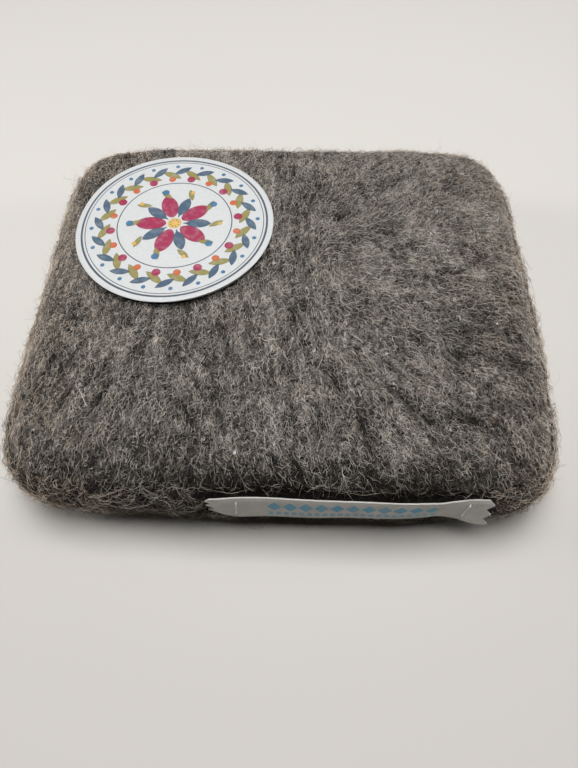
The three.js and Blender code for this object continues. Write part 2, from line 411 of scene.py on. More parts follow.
def wool_tone_and_painted_light(points, facing):
    """How much paler or darker the wool is.

    Streaks along its lay and soft patches; painted shade in pits, on the front, foot, sole, end rims and
    before the sticker; painted light on the ends.
    """
    x, y = points[..., 0] / mm, (points[..., 1] - middle_y) / mm
    ahead, upward = -facing[..., 1], facing[..., 2]
    share = fan_share(x)
    lay = wool_lay(x, y) * smooth(upward, 0.2, 0.8) * (1 - 0.2 * share) * (1 - 0.5 * share * smooth(y, 8, 30))
    furrows = smooth(-lay, 0.18, 0.5)
    # Pits and furrows are darkened with painted shade.
    tone = streak_tone * lay + furrow_tone * furrows + painted_pit_shade_tone * pit_share(points, facing)

    near_left = 0.11 * smooth(-x, 45, 65) * smooth(upward, 0.85, 0.97) * smooth(-y, 32, 48)
    near_left = near_left + 0.13 * bump(x, -38, 22) * smooth(-y, 50, 62)
    near_right = 0.08 * smooth(x, 50, 72) * smooth(-y, 56, 64)
    tone = tone - near_left + near_right
    for (patch_x, patch_y), (across, along), paler in wool_patches:
        tone = tone + paler * bump(x, patch_x, across) * bump(y, patch_y, along) * (upward > 0.3)

    # Painted shadow of the sticker's edge on the wool just in front of it.
    past_paper = np.hypot(x - sticker_x / mm, y + (middle_y - sticker_y) / mm) - sticker_radius / mm
    before_paper = (sticker_y - points[..., 1]) / sticker_radius
    painted_paper_shadow = (1 - smooth(past_paper, 0.4, 2.2)) * smooth(before_paper, 0.6, 0.95)
    tone = tone + painted_paper_shadow_tone * painted_paper_shadow * (upward > 0.5)

    # Painted shade on the front-facing wool, strongest in the middle, where little light falls.
    front = 0.12 + 0.06 * smooth(x, -60, -40) - 0.03 * bump(x, 15, 25) + 0.05 * bump(x, 45, 18)
    front = front * smooth(ahead, 0.05, 0.4)
    middle = smooth(x, -45, -10) * (1 - 0.8 * smooth(x, 50, 64))
    front = front + 0.2 * middle * smooth(ahead, 0.38, 0.8)
    # Painted light on the wool's ends, and painted shade on their outer rims.
    ends = smooth(np.abs(facing[..., 0]), 0.25, 0.8)
    painted_end_rim_shade = smooth(np.abs(facing[..., 0]), 0.65, 0.9)
    # Painted shade at the foot, and deeper painted shade along the front of the sole.
    foot = 1 - smooth(points[..., 2], 2 * mm, 10 * mm)
    sole = (1 - smooth(points[..., 2], 1 * mm, 5 * mm)) * smooth(ahead, 0, 0.5)
    tone = tone - front * (1 - ends) + painted_end_light_tone * ends
    return tone + painted_foot_shade_tone * foot + painted_sole_shade_tone * sole + painted_end_rim_shade_tone * painted_end_rim_shade


def felted(points, normals):
    """The block's surface with the soft lumps, pits and dents that felting leaves, and the label's seat."""
    x, y, z = points[..., 0], points[..., 1], points[..., 2]
    side = 1 - smooth(normals[..., 2], 0.3, 0.9)
    free = smooth(z, 0.5 * mm, 7 * mm)
    swell = (0.45 + 0.5 * side) * mm * lumps(points, lump_size, 1)
    dents = (0.35 + 0.15 * side) * mm * lumps(points, small_lump_size, 2)
    swell = swell + right_swell * smooth(normals[..., 0], 0.4, 0.9) * bump(y, middle_y - 12 * mm, 35 * mm)
    swell = swell + left_swell * smooth(-normals[..., 0], 0.4, 0.9) * bump(y, middle_y - 32 * mm, 30 * mm)
    nap_room = (0.35 + 0.65 * side) * mm
    offset = swell + dents - nap_room - dent_depth(x, y) * (normals[..., 2] > 0.5)
    under = 1 - smooth(np.hypot(x - sticker_x, y - sticker_y), sticker_radius, sticker_radius + 6 * mm)
    under = under * (z > half_height)
    offset = offset * (1 - under) - 0.1 * mm * under
    moved = points + normals * (offset * free)[..., None]

    reach = moved - label_corner
    along = reach[..., 0]
    up = reach @ label_up
    out = reach @ label_out
    front = normals[..., 1] < 0.2
    within = between(along, -6 * mm, 1 * mm, tape_length - mm, tape_length + 6 * mm) * front
    behind = within * between(up, -3 * mm, 0.3 * mm, tape_width - 0.4 * mm, tape_width + 2.2 * mm)
    seat = tape_bend(np.clip(along, 0, tape_length), up) - seat_depth
    push = np.maximum(out - seat, 0) * behind
    drawn = between(along, -2 * mm, 8 * mm, tape_length - 10 * mm, tape_length) * front
    groove = groove_depth * drawn * bump(up, tape_width + 0.2 * mm, groove_width)
    return moved - ((push + groove) * free)[..., None] * label_out


def ring_mesh(name, rings, first=None, last=None):
    """A closed mesh from rings of equal length; without end points the rings close into a loop."""
    count = len(rings[0])
    points = [tuple(point) for ring in rings for point in ring]
    faces = []
    spans = range(len(rings) if first is None else len(rings) - 1)
    for ring in spans:
        low = ring * count
        high = (ring + 1) % len(rings) * count
        for step in range(count):
            following = (step + 1) % count
            faces.append((low + step, low + following, high + following, high + step))
    if first is not None:
        points += [tuple(first), tuple(last)]
        top = (len(rings) - 1) * count
        for step in range(count):
            following = (step + 1) % count
            faces.append((len(points) - 2, following, step))
            faces.append((len(points) - 1, top + step, top + following))
    mesh = bpy.data.meshes.new(name)
    mesh.from_pydata(points, [], faces)
    mesh.validate()
    return mesh


def outwards(mesh):
    """Turns a closed mesh's faces outwards and shades it smooth."""
    work = bmesh.new()
    work.from_mesh(mesh)
    bmesh.ops.recalc_face_normals(work, faces=work.faces)
    work.to_mesh(mesh)
    work.free()
    mesh.shade_smooth()
    return mesh


def surface_of(mesh):
    """Places and normals of a mesh's points."""
    points, facing = np.empty((2, len(mesh.vertices) * 3))
    mesh.vertices.foreach_get("co", points)
    mesh.vertices.foreach_get("normal", facing)
    return points.reshape(-1, 3), facing.reshape(-1, 3)


def add_attribute(mesh, name, values):
    """Stores a number or a vector at each of a mesh's points."""
    kind, field = ("FLOAT", "value") if values.ndim == 1 else ("FLOAT_VECTOR", "vector")
    attribute = mesh.attributes.new(name, kind, "POINT")
    attribute.data.foreach_set(field, np.ascontiguousarray(values, dtype=np.float32).ravel())


def add_piece(name, mesh, material):
    """An object on the part's body; without a material the mesh keeps its own."""
    piece = bpy.data.objects.new(name, mesh)
    bpy.context.scene.collection.objects.link(piece)
    if material:
        mesh.materials.clear()
        mesh.materials.append(material)
    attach(piece, "root")
    return piece


# Node helpers


def socket_of(sockets, key):
    """A socket by its index, its identifier or its name."""
    if isinstance(key, int):
        return sockets[key]
    return next(socket for socket in sockets if key in (socket.identifier, socket.name))


def add_node(tree, kind, inputs=None, **settings):
    """A node with its settings, and its inputs linked or set."""
    made = tree.nodes.new(kind)
    for name, value in settings.items():
        setattr(made, name, value)
    for key, value in (inputs or {}).items():
        socket = socket_of(made.inputs, key)
        if isinstance(value, bpy.types.NodeSocket):
            tree.links.new(value, socket)
        else:
            socket.default_value = value
    return made


def calc(tree, operation, *values):
    return add_node(tree, "ShaderNodeMath", dict(enumerate(values)), operation=operation).outputs[0]


def vector_calc(tree, operation, *values, out=0):
    return add_node(tree, "ShaderNodeVectorMath", dict(enumerate(values)), operation=operation).outputs[out]


def scaled(tree, vector, scale):
    return add_node(tree, "ShaderNodeVectorMath", {0: vector, "Scale": scale}, operation="SCALE").outputs[0]


def clamped(tree, value, scale, start):
    """A value times a scale plus a start, kept between 0 and 1."""
    inputs = {0: value, 1: scale, 2: start}
    return add_node(tree, "ShaderNodeMath", inputs, operation="MULTIPLY_ADD", use_clamp=True).outputs[0]


def eased(tree, value, low, high):
    """0 at low and 1 at high, with a soft step between them."""
    inputs = {"Value": value, 1: low, 2: high}
    return add_node(tree, "ShaderNodeMapRange", inputs, interpolation_type="SMOOTHSTEP").outputs[0]


def combined(tree, *values):
    """A vector from one to three values."""
    return add_node(tree, "ShaderNodeCombineXYZ", dict(enumerate(values))).outputs[0]


def separated(tree, vector):
    """The three values of a vector."""
    return add_node(tree, "ShaderNodeSeparateXYZ", {0: vector}).outputs


def flat_length(tree, vector):
    """Length of a vector, seen from above."""
    return vector_calc(tree, "LENGTH", vector_calc(tree, "MULTIPLY", vector, (1, 1, 0)), out=1)


def clouds(tree, place, scale, detail):
    """Soft noise, from 0 to 1."""
    inputs = {"Vector": place, "Scale": scale, "Detail": detail}
    return add_node(tree, "ShaderNodeTexNoise", inputs).outputs["Fac"]


def new_group(name, kind, inputs, outputs):
    """A node group with named sockets, given as (name, socket kind, start value)."""
    tree = bpy.data.node_groups.new(name, kind)
    for label, socket, start in inputs:
        made = tree.interface.new_socket(name=label, in_out="INPUT", socket_type=socket)
        if start is not None:
            made.default_value = start
    for label, socket in outputs:
        tree.interface.new_socket(name=label, in_out="OUTPUT", socket_type=socket)
    return tree, tree.nodes.new("NodeGroupInput"), tree.nodes.new("NodeGroupOutput")


def use_group(tree, group, inputs):
    return add_node(tree, "ShaderNodeGroup", inputs, node_tree=group)


def new_material(name, roughness, **constants):
    """A material with its Principled shader, and the tree to add to."""
    material = bpy.data.materials.new(name)
    material.use_nodes = True
    tree = material.node_tree
    shader = tree.nodes["Principled BSDF"]
    shader.inputs["Roughness"].default_value = roughness
    for socket, value in constants.items():
        shader.inputs[socket.replace("_", " ")].default_value = value
    return material, tree, shader


def ramp(tree, value, stops, blend="LINEAR"):
    """A colour from a value, by stops of (place, colour)."""
    made = add_node(tree, "ShaderNodeValToRGB", {0: value})
    band = made.color_ramp
    band.interpolation = blend
    while len(band.elements) < len(stops):
        band.elements.new(0.5)
    for element, (place, color) in zip(band.elements, stops):
        element.position = place
        element.color = (*color, 1)
    return made.outputs[0]


def mixed(tree, share, below, above, blend="MIX"):
    made = add_node(tree, "ShaderNodeMix", {0: share, 6: below, 7: above}, data_type="RGBA", blend_type=blend)
    return made.outputs[2]


def object_place(tree, centre=(0, 0, 0)):
    """The place on an object, from a centre of its own."""
    coordinates = tree.nodes.new("ShaderNodeTexCoord").outputs["Object"]
    return vector_calc(tree, "SUBTRACT", coordinates, centre)


def bumped(tree, shader, height, distance, strength):
    made = add_node(tree, "ShaderNodeBump", {"Height": height, "Distance": distance, "Strength": strength})
    tree.links.new(made.outputs[0], shader.inputs["Normal"])


def wandering_fibres_group():
    """Thin lines that wander along one direction, like fibres in felt, and each line's own tone."""
    sockets = [
        ("Vector", "NodeSocketVector", None),
        ("Turn", "NodeSocketFloat", 0.0),
        ("Across", "NodeSocketFloat", 1400.0),
        ("Along", "NodeSocketFloat", 420.0),
        ("Wander", "NodeSocketFloat", 1.6 * mm),
        ("Thickness", "NodeSocketFloat", 0.07),
    ]
    outputs = [("Lines", "NodeSocketFloat"), ("Tone", "NodeSocketFloat")]
    tree, start, end = new_group("wandering_fibres", "ShaderNodeTree", sockets, outputs)
    given = start.outputs
    inputs = {"Vector": given["Vector"], "Angle": given["Turn"]}
    turned = add_node(tree, "ShaderNodeVectorRotate", inputs, rotation_type="Z_AXIS").outputs[0]
    turned = vector_calc(tree, "ADD", turned, combined(tree, given["Turn"], given["Turn"]))
    drift = add_node(tree, "ShaderNodeTexNoise", {"Vector": turned, "Scale": 430.0, "Detail": 1.0})
    warp = vector_calc(tree, "SUBTRACT", drift.outputs["Color"], (0.5, 0.5, 0.5))
    place = vector_calc(tree, "ADD", turned, scaled(tree, warp, given["Wander"]))
    stretch = combined(tree, given["Across"], given["Along"], given["Across"])
    place = vector_calc(tree, "MULTIPLY", place, stretch)
    field = clouds(tree, place, 1.0, 0.0)
    off_line = calc(tree, "ABSOLUTE", calc(tree, "SUBTRACT", field, 0.5))
    line = calc(tree, "SUBTRACT", 1.0, calc(tree, "DIVIDE", off_line, given["Thickness"]))
    tree.links.new(calc(tree, "MAXIMUM", line, 0.0), end.inputs["Lines"])
    tree.links.new(clouds(tree, place, 0.37, 1.0), end.inputs["Tone"])
    return tree


wandering_fibres = wandering_fibres_group()


def matted_wool(name, dark, light, turns):
    """Felted wool: layers of wandering fibres over dark gaps whose near-black is painted shade, with a slow
    mottle.
    """
    material, tree, shader = new_material(name, 0.95, Specular_IOR_Level=0.15)
    place = object_place(tree)
    height = None
    for layer, turn in enumerate(turns):
        inputs = {"Vector": place, "Turn": turn, "Across": 1350.0 + 190.0 * layer}
        fibres = use_group(tree, wandering_fibres, inputs)
        tone = calc(tree, "MULTIPLY_ADD", fibres.outputs["Tone"], 2.4, -0.7)
        seen = calc(tree, "MULTIPLY", fibres.outputs["Lines"], calc(tree, "MAXIMUM", tone, 0.1))
        height = seen if height is None else calc(tree, "MAXIMUM", height, seen)
    patches = clouds(tree, place, 75.0, 3.0)
    # The tone attribute brings the host's painted shade and painted light in with its streaks and patches.
    tone = add_node(tree, "ShaderNodeAttribute", attribute_name="tone").outputs["Fac"]
    share = calc(tree, "ADD", height, calc(tree, "MULTIPLY_ADD", patches, 0.5, -0.25))
    share = calc(tree, "ADD", share, tone)
    middle = tuple(0.72 * a + 0.28 * b for a, b in zip(dark, light))
    color = ramp(tree, share, [(0.0, dark), (0.45, middle), (1.0, light)])
    tree.links.new(color, shader.inputs["Base Color"])
    bumped(tree, shader, height, 0.5 * mm, 0.8)
    return material


# Hues that the wool's fibres are tinted with, side by side in the fibres' map
wool_tints = [(0.97, 0.99, 1.0), (1.0, 1.0, 1.0), (1.0, 0.94, 0.87), (1.0, 0.9, 0.79), (1.0, 0.87, 0.72)]


def fibre_wool(name, stops):
    """Fibres, by their map: U holds a band for each hue, from dark to pale, and V runs along the fibre, whose
    ends get painted shade.
    """
    material, tree, shader = new_material(name, 0.85, Specular_IOR_Level=0.25)
    chart = add_node(tree, "ShaderNodeUVMap", uv_map="OFBake").outputs[0]
    axes = separated(tree, chart)
    bands = len(wool_tints)
    color = ramp(tree, calc(tree, "FRACT", calc(tree, "MULTIPLY", axes[0], bands)), stops)
    hues = [(index / bands, tint) for index, tint in enumerate(wool_tints)]
    color = mixed(tree, 1.0, color, ramp(tree, axes[0], hues, "CONSTANT"), "MULTIPLY")
    # Painted shade towards both ends of each fibre, where it tucks in.
    tip = calc(tree, "ABSOLUTE", calc(tree, "MULTIPLY_ADD", axes[1], 2.0, -1.0))
    painted_end_shade = calc(tree, "MULTIPLY_ADD", calc(tree, "POWER", tip, 3.0), -0.35, 1.0)
    shade = combined(tree, painted_end_shade, painted_end_shade, painted_end_shade)
    tree.links.new(mixed(tree, 1.0, color, shade, "MULTIPLY"), shader.inputs["Base Color"])
    return material


# Camera at the photograph's angle

sensor_width = 36
frame_height = 768
focal_pixels = 570.7
camera_pitch = math.radians(61.08)
camera_yaw = math.radians(-2.66)
camera_roll = math.radians(-1.38)
camera_reach = 193.7 * mm
camera_target = Vector((2.46 * mm, -30.58 * mm + middle_y, 17.5 * mm))


def add_camera():
    ahead = Vector(
        (
            math.sin(camera_yaw) * math.cos(camera_pitch),
            math.cos(camera_yaw) * math.cos(camera_pitch),
            -math.sin(camera_pitch),
        )
    )
    level = Vector((math.cos(camera_yaw), -math.sin(camera_yaw), 0))
    upright = level.cross(ahead)
    right = level * math.cos(camera_roll) + upright * math.sin(camera_roll)
    up = upright * math.cos(camera_roll) - level * math.sin(camera_roll)
    data = bpy.data.cameras.new("photo_camera")
    data.sensor_fit = "AUTO"
    data.sensor_width = sensor_width
    data.lens = focal_pixels / frame_height * sensor_width
    data.clip_start = 0.01
    data.clip_end = 50
    camera = bpy.data.objects.new("photo_camera", data)
    turn = Matrix((right, up, -ahead)).transposed()
    camera.matrix_world = Matrix.Translation(camera_target - ahead * camera_reach) @ turn.to_4x4()
    bpy.context.scene.collection.objects.link(camera)
    bpy.context.scene.camera = camera


# Studio, in metres: its light, and a floor with painted shade in front and below the lamps, that glows far
# out
daylight = (1.0, 0.985, 0.965)
warm_fill = (1.0, 0.84, 0.72)
fill_strength = 0.014
backdrop_strength = 0.72
floor_reach = 4.0
floor_tints = [(0.3, (0.666, 0.647, 0.624)), (0.7, (0.685, 0.666, 0.643))]
# Painted shade on the floor: in front of the block, and below the side lamps
painted_near_shade_tint = (0.585, 0.567, 0.545, 1)
near_start, near_full = 0.02, -0.12
painted_lamp_shade_tint = (0.42, 0.407, 0.391, 1)
lamp_foot_x, lamp_foot_y = 0.7, 0.08
lamp_height = 0.95
horizon_glow = 0.7

# Soft boxes: name, place, size and power
soft_boxes = [
    ("overhead_soft_box", (0.0, 0.083, lamp_height), (0.6, 0.56), 9.5),
    ("left_soft_box", (-0.85, 0.06, 0.38), (0.25, 0.4), 2.8),
    ("right_soft_box", (0.85, 0.1, 0.36), (0.3, 0.4), 2.1),
]


def add_light(name, place, size, power):
    """A soft box that points at the origin."""
    data = bpy.data.lights.new(name, "AREA")
    data.shape = "RECTANGLE"
    data.size, data.size_y = size
    data.energy = power
    data.color = daylight
    light = bpy.data.objects.new(name, data)
    light.location = place
    light.rotation_euler = (Vector() - Vector(place)).to_track_quat("-Z", "Y").to_euler()
    bpy.context.scene.collection.objects.link(light)


def pale_floor():
    """A pale floor, with painted shade in front and below the side lamps.

    Away from the lights it glows by as much as it is lit less, so that it stays even out to the horizon.
    """
    material, tree, shader = new_material("pale_floor", 0.6, Specular_IOR_Level=0.2)
    place = object_place(tree)
    axes = separated(tree, place)
    color = ramp(tree, clouds(tree, place, 3.0, 2.0), floor_tints)
    # Painted shade in front of the block
    color = mixed(tree, eased(tree, axes[1], near_start, near_full), color, painted_near_shade_tint)
    aside = calc(tree, "SUBTRACT", calc(tree, "ABSOLUTE", axes[0]), lamp_foot_x)
    beyond = calc(tree, "SUBTRACT", axes[1], lamp_foot_y)
    off_lamp = vector_calc(tree, "LENGTH", combined(tree, aside, beyond), out=1)
    # Painted shade below the side lamps, against their bright pools on the floor
    color = mixed(tree, eased(tree, off_lamp, 0.45, 0.1), color, painted_lamp_shade_tint)
    tree.links.new(color, shader.inputs["Base Color"])

    distance = vector_calc(tree, "LENGTH", place, out=1)
    square = calc(tree, "MULTIPLY_ADD", distance, distance, lamp_height**2)
    lit = calc(tree, "POWER", calc(tree, "DIVIDE", lamp_height**2, square), 2.0)
    glow = calc(tree, "SUBTRACT", horizon_glow, calc(tree, "MULTIPLY", lit, horizon_glow))
    glow = calc(tree, "MULTIPLY", glow, eased(tree, distance, 0.3, 0.6))
    glow = calc(tree, "MULTIPLY", glow, eased(tree, off_lamp, 0.1, 0.75))
    shader.inputs["Emission Color"].default_value = (*daylight, 1)
    tree.links.new(glow, shader.inputs["Emission Strength"])
    return material


def add_floor():
    mesh = bpy.data.meshes.new("floor")
    corners = [(x * floor_reach, y * floor_reach, 0) for x, y in ((-1, -1), (1, -1), (1, 1), (-1, 1))]
    mesh.from_pydata(corners, [], [(0, 1, 2, 3)])
    mesh.materials.append(pale_floor())
    floor = bpy.data.objects.new("floor", mesh)
    bpy.context.scene.collection.objects.link(floor)


def add_world():
    """A faint warm fill, and an even backdrop for the camera."""
    world = bpy.data.worlds.new("studio")
    world.use_nodes = True
    tree = world.node_tree
    background = tree.nodes["Background"]
    seen = tree.nodes.new("ShaderNodeLightPath").outputs["Is Camera Ray"]
    strength = calc(tree, "MULTIPLY_ADD", seen, backdrop_strength - fill_strength, fill_strength)
    color = mixed(tree, seen, (*warm_fill, 1), (*daylight, 1))
    tree.links.new(color, background.inputs["Color"])
    tree.links.new(strength, background.inputs["Strength"])
    bpy.context.scene.world = world


def add_studio():
    bpy.context.scene.view_settings.view_transform = "Standard"
    add_floor()
    add_world()
    for soft_box in soft_boxes:
        add_light(*soft_box)


# Wool skins


def block_grid(runs, outline):
    """Rings of points for each run of the profile, with the felted surface."""
    stations = [station for run in runs for station in run]
    share = np.array([station[0] for station in stations])
    height = np.array([station[1] for station in stations])
    x = share[:, None] * outline[None, :, 0]
    y = share[:, None] * outline[None, :, 1] + middle_y
    grid = np.stack([x, y, np.repeat(height[:, None], len(outline), 1)], -1)
    lengthwise = np.gradient(grid, axis=0)
    round_about = np.roll(grid, -1, 1) - np.roll(grid, 1, 1)
    normals = np.cross(round_about, lengthwise)
    normals /= np.maximum(np.linalg.norm(normals, axis=2, keepdims=True), 1e-12)
    moved = felted(grid, normals)
    ends = np.cumsum([0] + [len(run) for run in runs])
    return [moved[first:last] for first, last in zip(ends, ends[1:])]


def core_ring(z, outline, gap=0.0):
    """The edge wrap's inner outline at a height, less a gap."""
    share = side_share(z) - (wrap_thickness + gap) / half_depth
    ring = np.empty((len(outline), 3))
    ring[:, :2] = outline * share
    ring[:, 1] += middle_y
    ring[:, 2] = z
    return ring


core_low = skin_thickness
core_high = block_height - skin_thickness
batt_faces = np.linspace(core_low, core_high, core_batts + 1)

# How finely the batts are drawn, how far their rims draw in, and how their faces wave
batt_steps = 120
batt_shares = (1, 0.94, 0.86, 0.72, 0.56, 0.4, 0.24, 0.1)
batt_rim = 0.7 * mm
batt_wave = 0.45 * mm
batt_wave_size = 22 * mm


def lifted(ring, z):
    moved = np.array(ring)
    moved[:, 2] += z
    return moved


def shrunk(ring, share):
    moved = np.array(ring)
    moved[:, 0] *= share
    moved[:, 1] = (moved[:, 1] - middle_y) * share + middle_y
    return moved


# Finish of each skin: its dark and light wool, and the directions of its fibres, turned from front to back
side_turns = (0.3, -0.5, 1.1, 1.57)
# The near-black dark wool is painted shade between the fibres; the edge's darker light wool is partly painted
# shade on the sides.
skin_finishes = {
    "top": ((0.010, 0.009, 0.008), (0.68, 0.63, 0.575), (0.12, -0.38, 0.6, 1.25)),
    "edge": ((0.006, 0.005, 0.004), (0.2, 0.18, 0.16), side_turns),
    "base": ((0.007, 0.006, 0.005), (0.30, 0.272, 0.245), side_turns),
}


def skin_mesh(name, rings, *ends):
    """A skin's closed mesh, with the tone of its wool, painted shade and painted light included."""
    mesh = outwards(ring_mesh(name, rings, *ends))
    add_attribute(mesh, "tone", wool_tone_and_painted_light(*surface_of(mesh)))
    return mesh


def add_skins(grids, outline):
    """The block's three skins, each closed by its inner side round the core."""
    base, side, top = grids
    half_gap = layer_gap / 2
    low_cut = core_ring(wrap_low, outline)
    high_cut = core_ring(wrap_high, outline)
    ceiling = core_ring(core_high, outline)
    ground = core_ring(core_low, outline)
    inner_shares = (0.9, 0.6, 0.3, centre_share)

    inner = [shrunk(ceiling, share) for share in reversed(inner_shares)]
    inner += [ceiling, lifted(high_cut, half_gap)]
    outer = [lifted(top[0], half_gap)] + list(top[1:])
    ends = (0, middle_y, core_high), (0, middle_y, top[-1][:, 2].mean())
    top_mesh = skin_mesh("wool_top_skin", inner + outer, *ends)

    inner = [lifted(low_cut, -half_gap), ground] + [shrunk(ground, share) for share in inner_shares]
    outer = list(base[:-1]) + [lifted(base[-1], -half_gap)]
    ends = (0, middle_y, 0), (0, middle_y, core_low)
    base_mesh = skin_mesh("wool_base_skin", outer + inner, *ends)

    inner = [core_ring(z, outline) for z in reversed(batt_faces) if wrap_low < z < wrap_high]
    inner = [lifted(high_cut, -half_gap)] + inner + [lifted(low_cut, half_gap)]
    outer = [lifted(side[0], half_gap)] + list(side[1:-1]) + [lifted(side[-1], -half_gap)]
    wrap_mesh = skin_mesh("wool_edge_wrap", outer + inner)

    for mesh, node, part in (
        (top_mesh, "top_skin", "top"),
        (wrap_mesh, "edge_wrap", "edge"),
        (base_mesh, "base_skin", "base"),
    ):
        material = matted_wool(f"matted_{part}", *skin_finishes[part])
        piece = add_piece(mesh.name, mesh, material)
        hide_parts(node)


def batt_face(outline, z, level):
    """Rings of a batt's face, which waves as its neighbour's does; the core's own two faces stay flat."""
    rim = core_ring(z, outline, side_gap + batt_rim)
    steady = min(abs(z - core_low), abs(z - core_high)) < 1e-6
    rings = []
    for share in batt_shares:
        ring = shrunk(rim, share)
        wave = 0 if steady else batt_wave * lumps(ring, batt_wave_size, 11)
        ring[:, 2] = level + wave
        rings.append(ring)
    return rings


def add_batts():
    """The core's carded batts, soft at the rim, with faces that wave together so that they nest."""
    outline = plan_outline(batt_steps)
    dark = matted_wool("carded_dark", (0.10, 0.088, 0.077), (0.26, 0.235, 0.21), (1.4, 1.7))
    light = matted_wool("carded_light", (0.14, 0.125, 0.11), (0.34, 0.31, 0.28), (-0.2, 0.15))
    finishes = [("wool_core_dark", dark), ("wool_core_light", light)]
    for index in range(core_batts):
        low, high = batt_faces[index], batt_faces[index + 1]
        under = batt_face(outline, low, low + layer_gap / 2)[::-1]
        over = batt_face(outline, high, high - layer_gap / 2)
        waist = core_ring((low + high) / 2, outline, side_gap)
        ends = under[0].mean(0), over[-1].mean(0)
        mesh = outwards(ring_mesh(f"wool_batt_{index + 1}", under + [waist] + over, *ends))
        slot, finish = finishes[index % 2]
        piece = add_piece(mesh.name, mesh, finish)
        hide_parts(f"core_batt_{index + 1}")


# Nap


def finished(tree, mesh, material):
    """A smooth mesh in its material, with nothing left as an instance."""
    mesh = add_node(tree, "GeometryNodeSetShadeSmooth", {"Geometry": mesh}).outputs[0]
    mesh = add_node(tree, "GeometryNodeRealizeInstances", {"Geometry": mesh}).outputs[0]
    return add_node(tree, "GeometryNodeSetMaterial", {"Geometry": mesh, "Material": material}).outputs[0]


# Seeds of the draws that each fibre makes, and what its host and its tree store for it on the way
fibre_draws = {"shade": 3, "hue": 5, "lift": 7, "strand": 9, "turn": 11, "side": 13, "length": 17}
host_stores = ("flow", "facing", "cover", "room", "tone", "warmth", "uneven")
tree_stores = ("shade", "strand", "lift", "way")


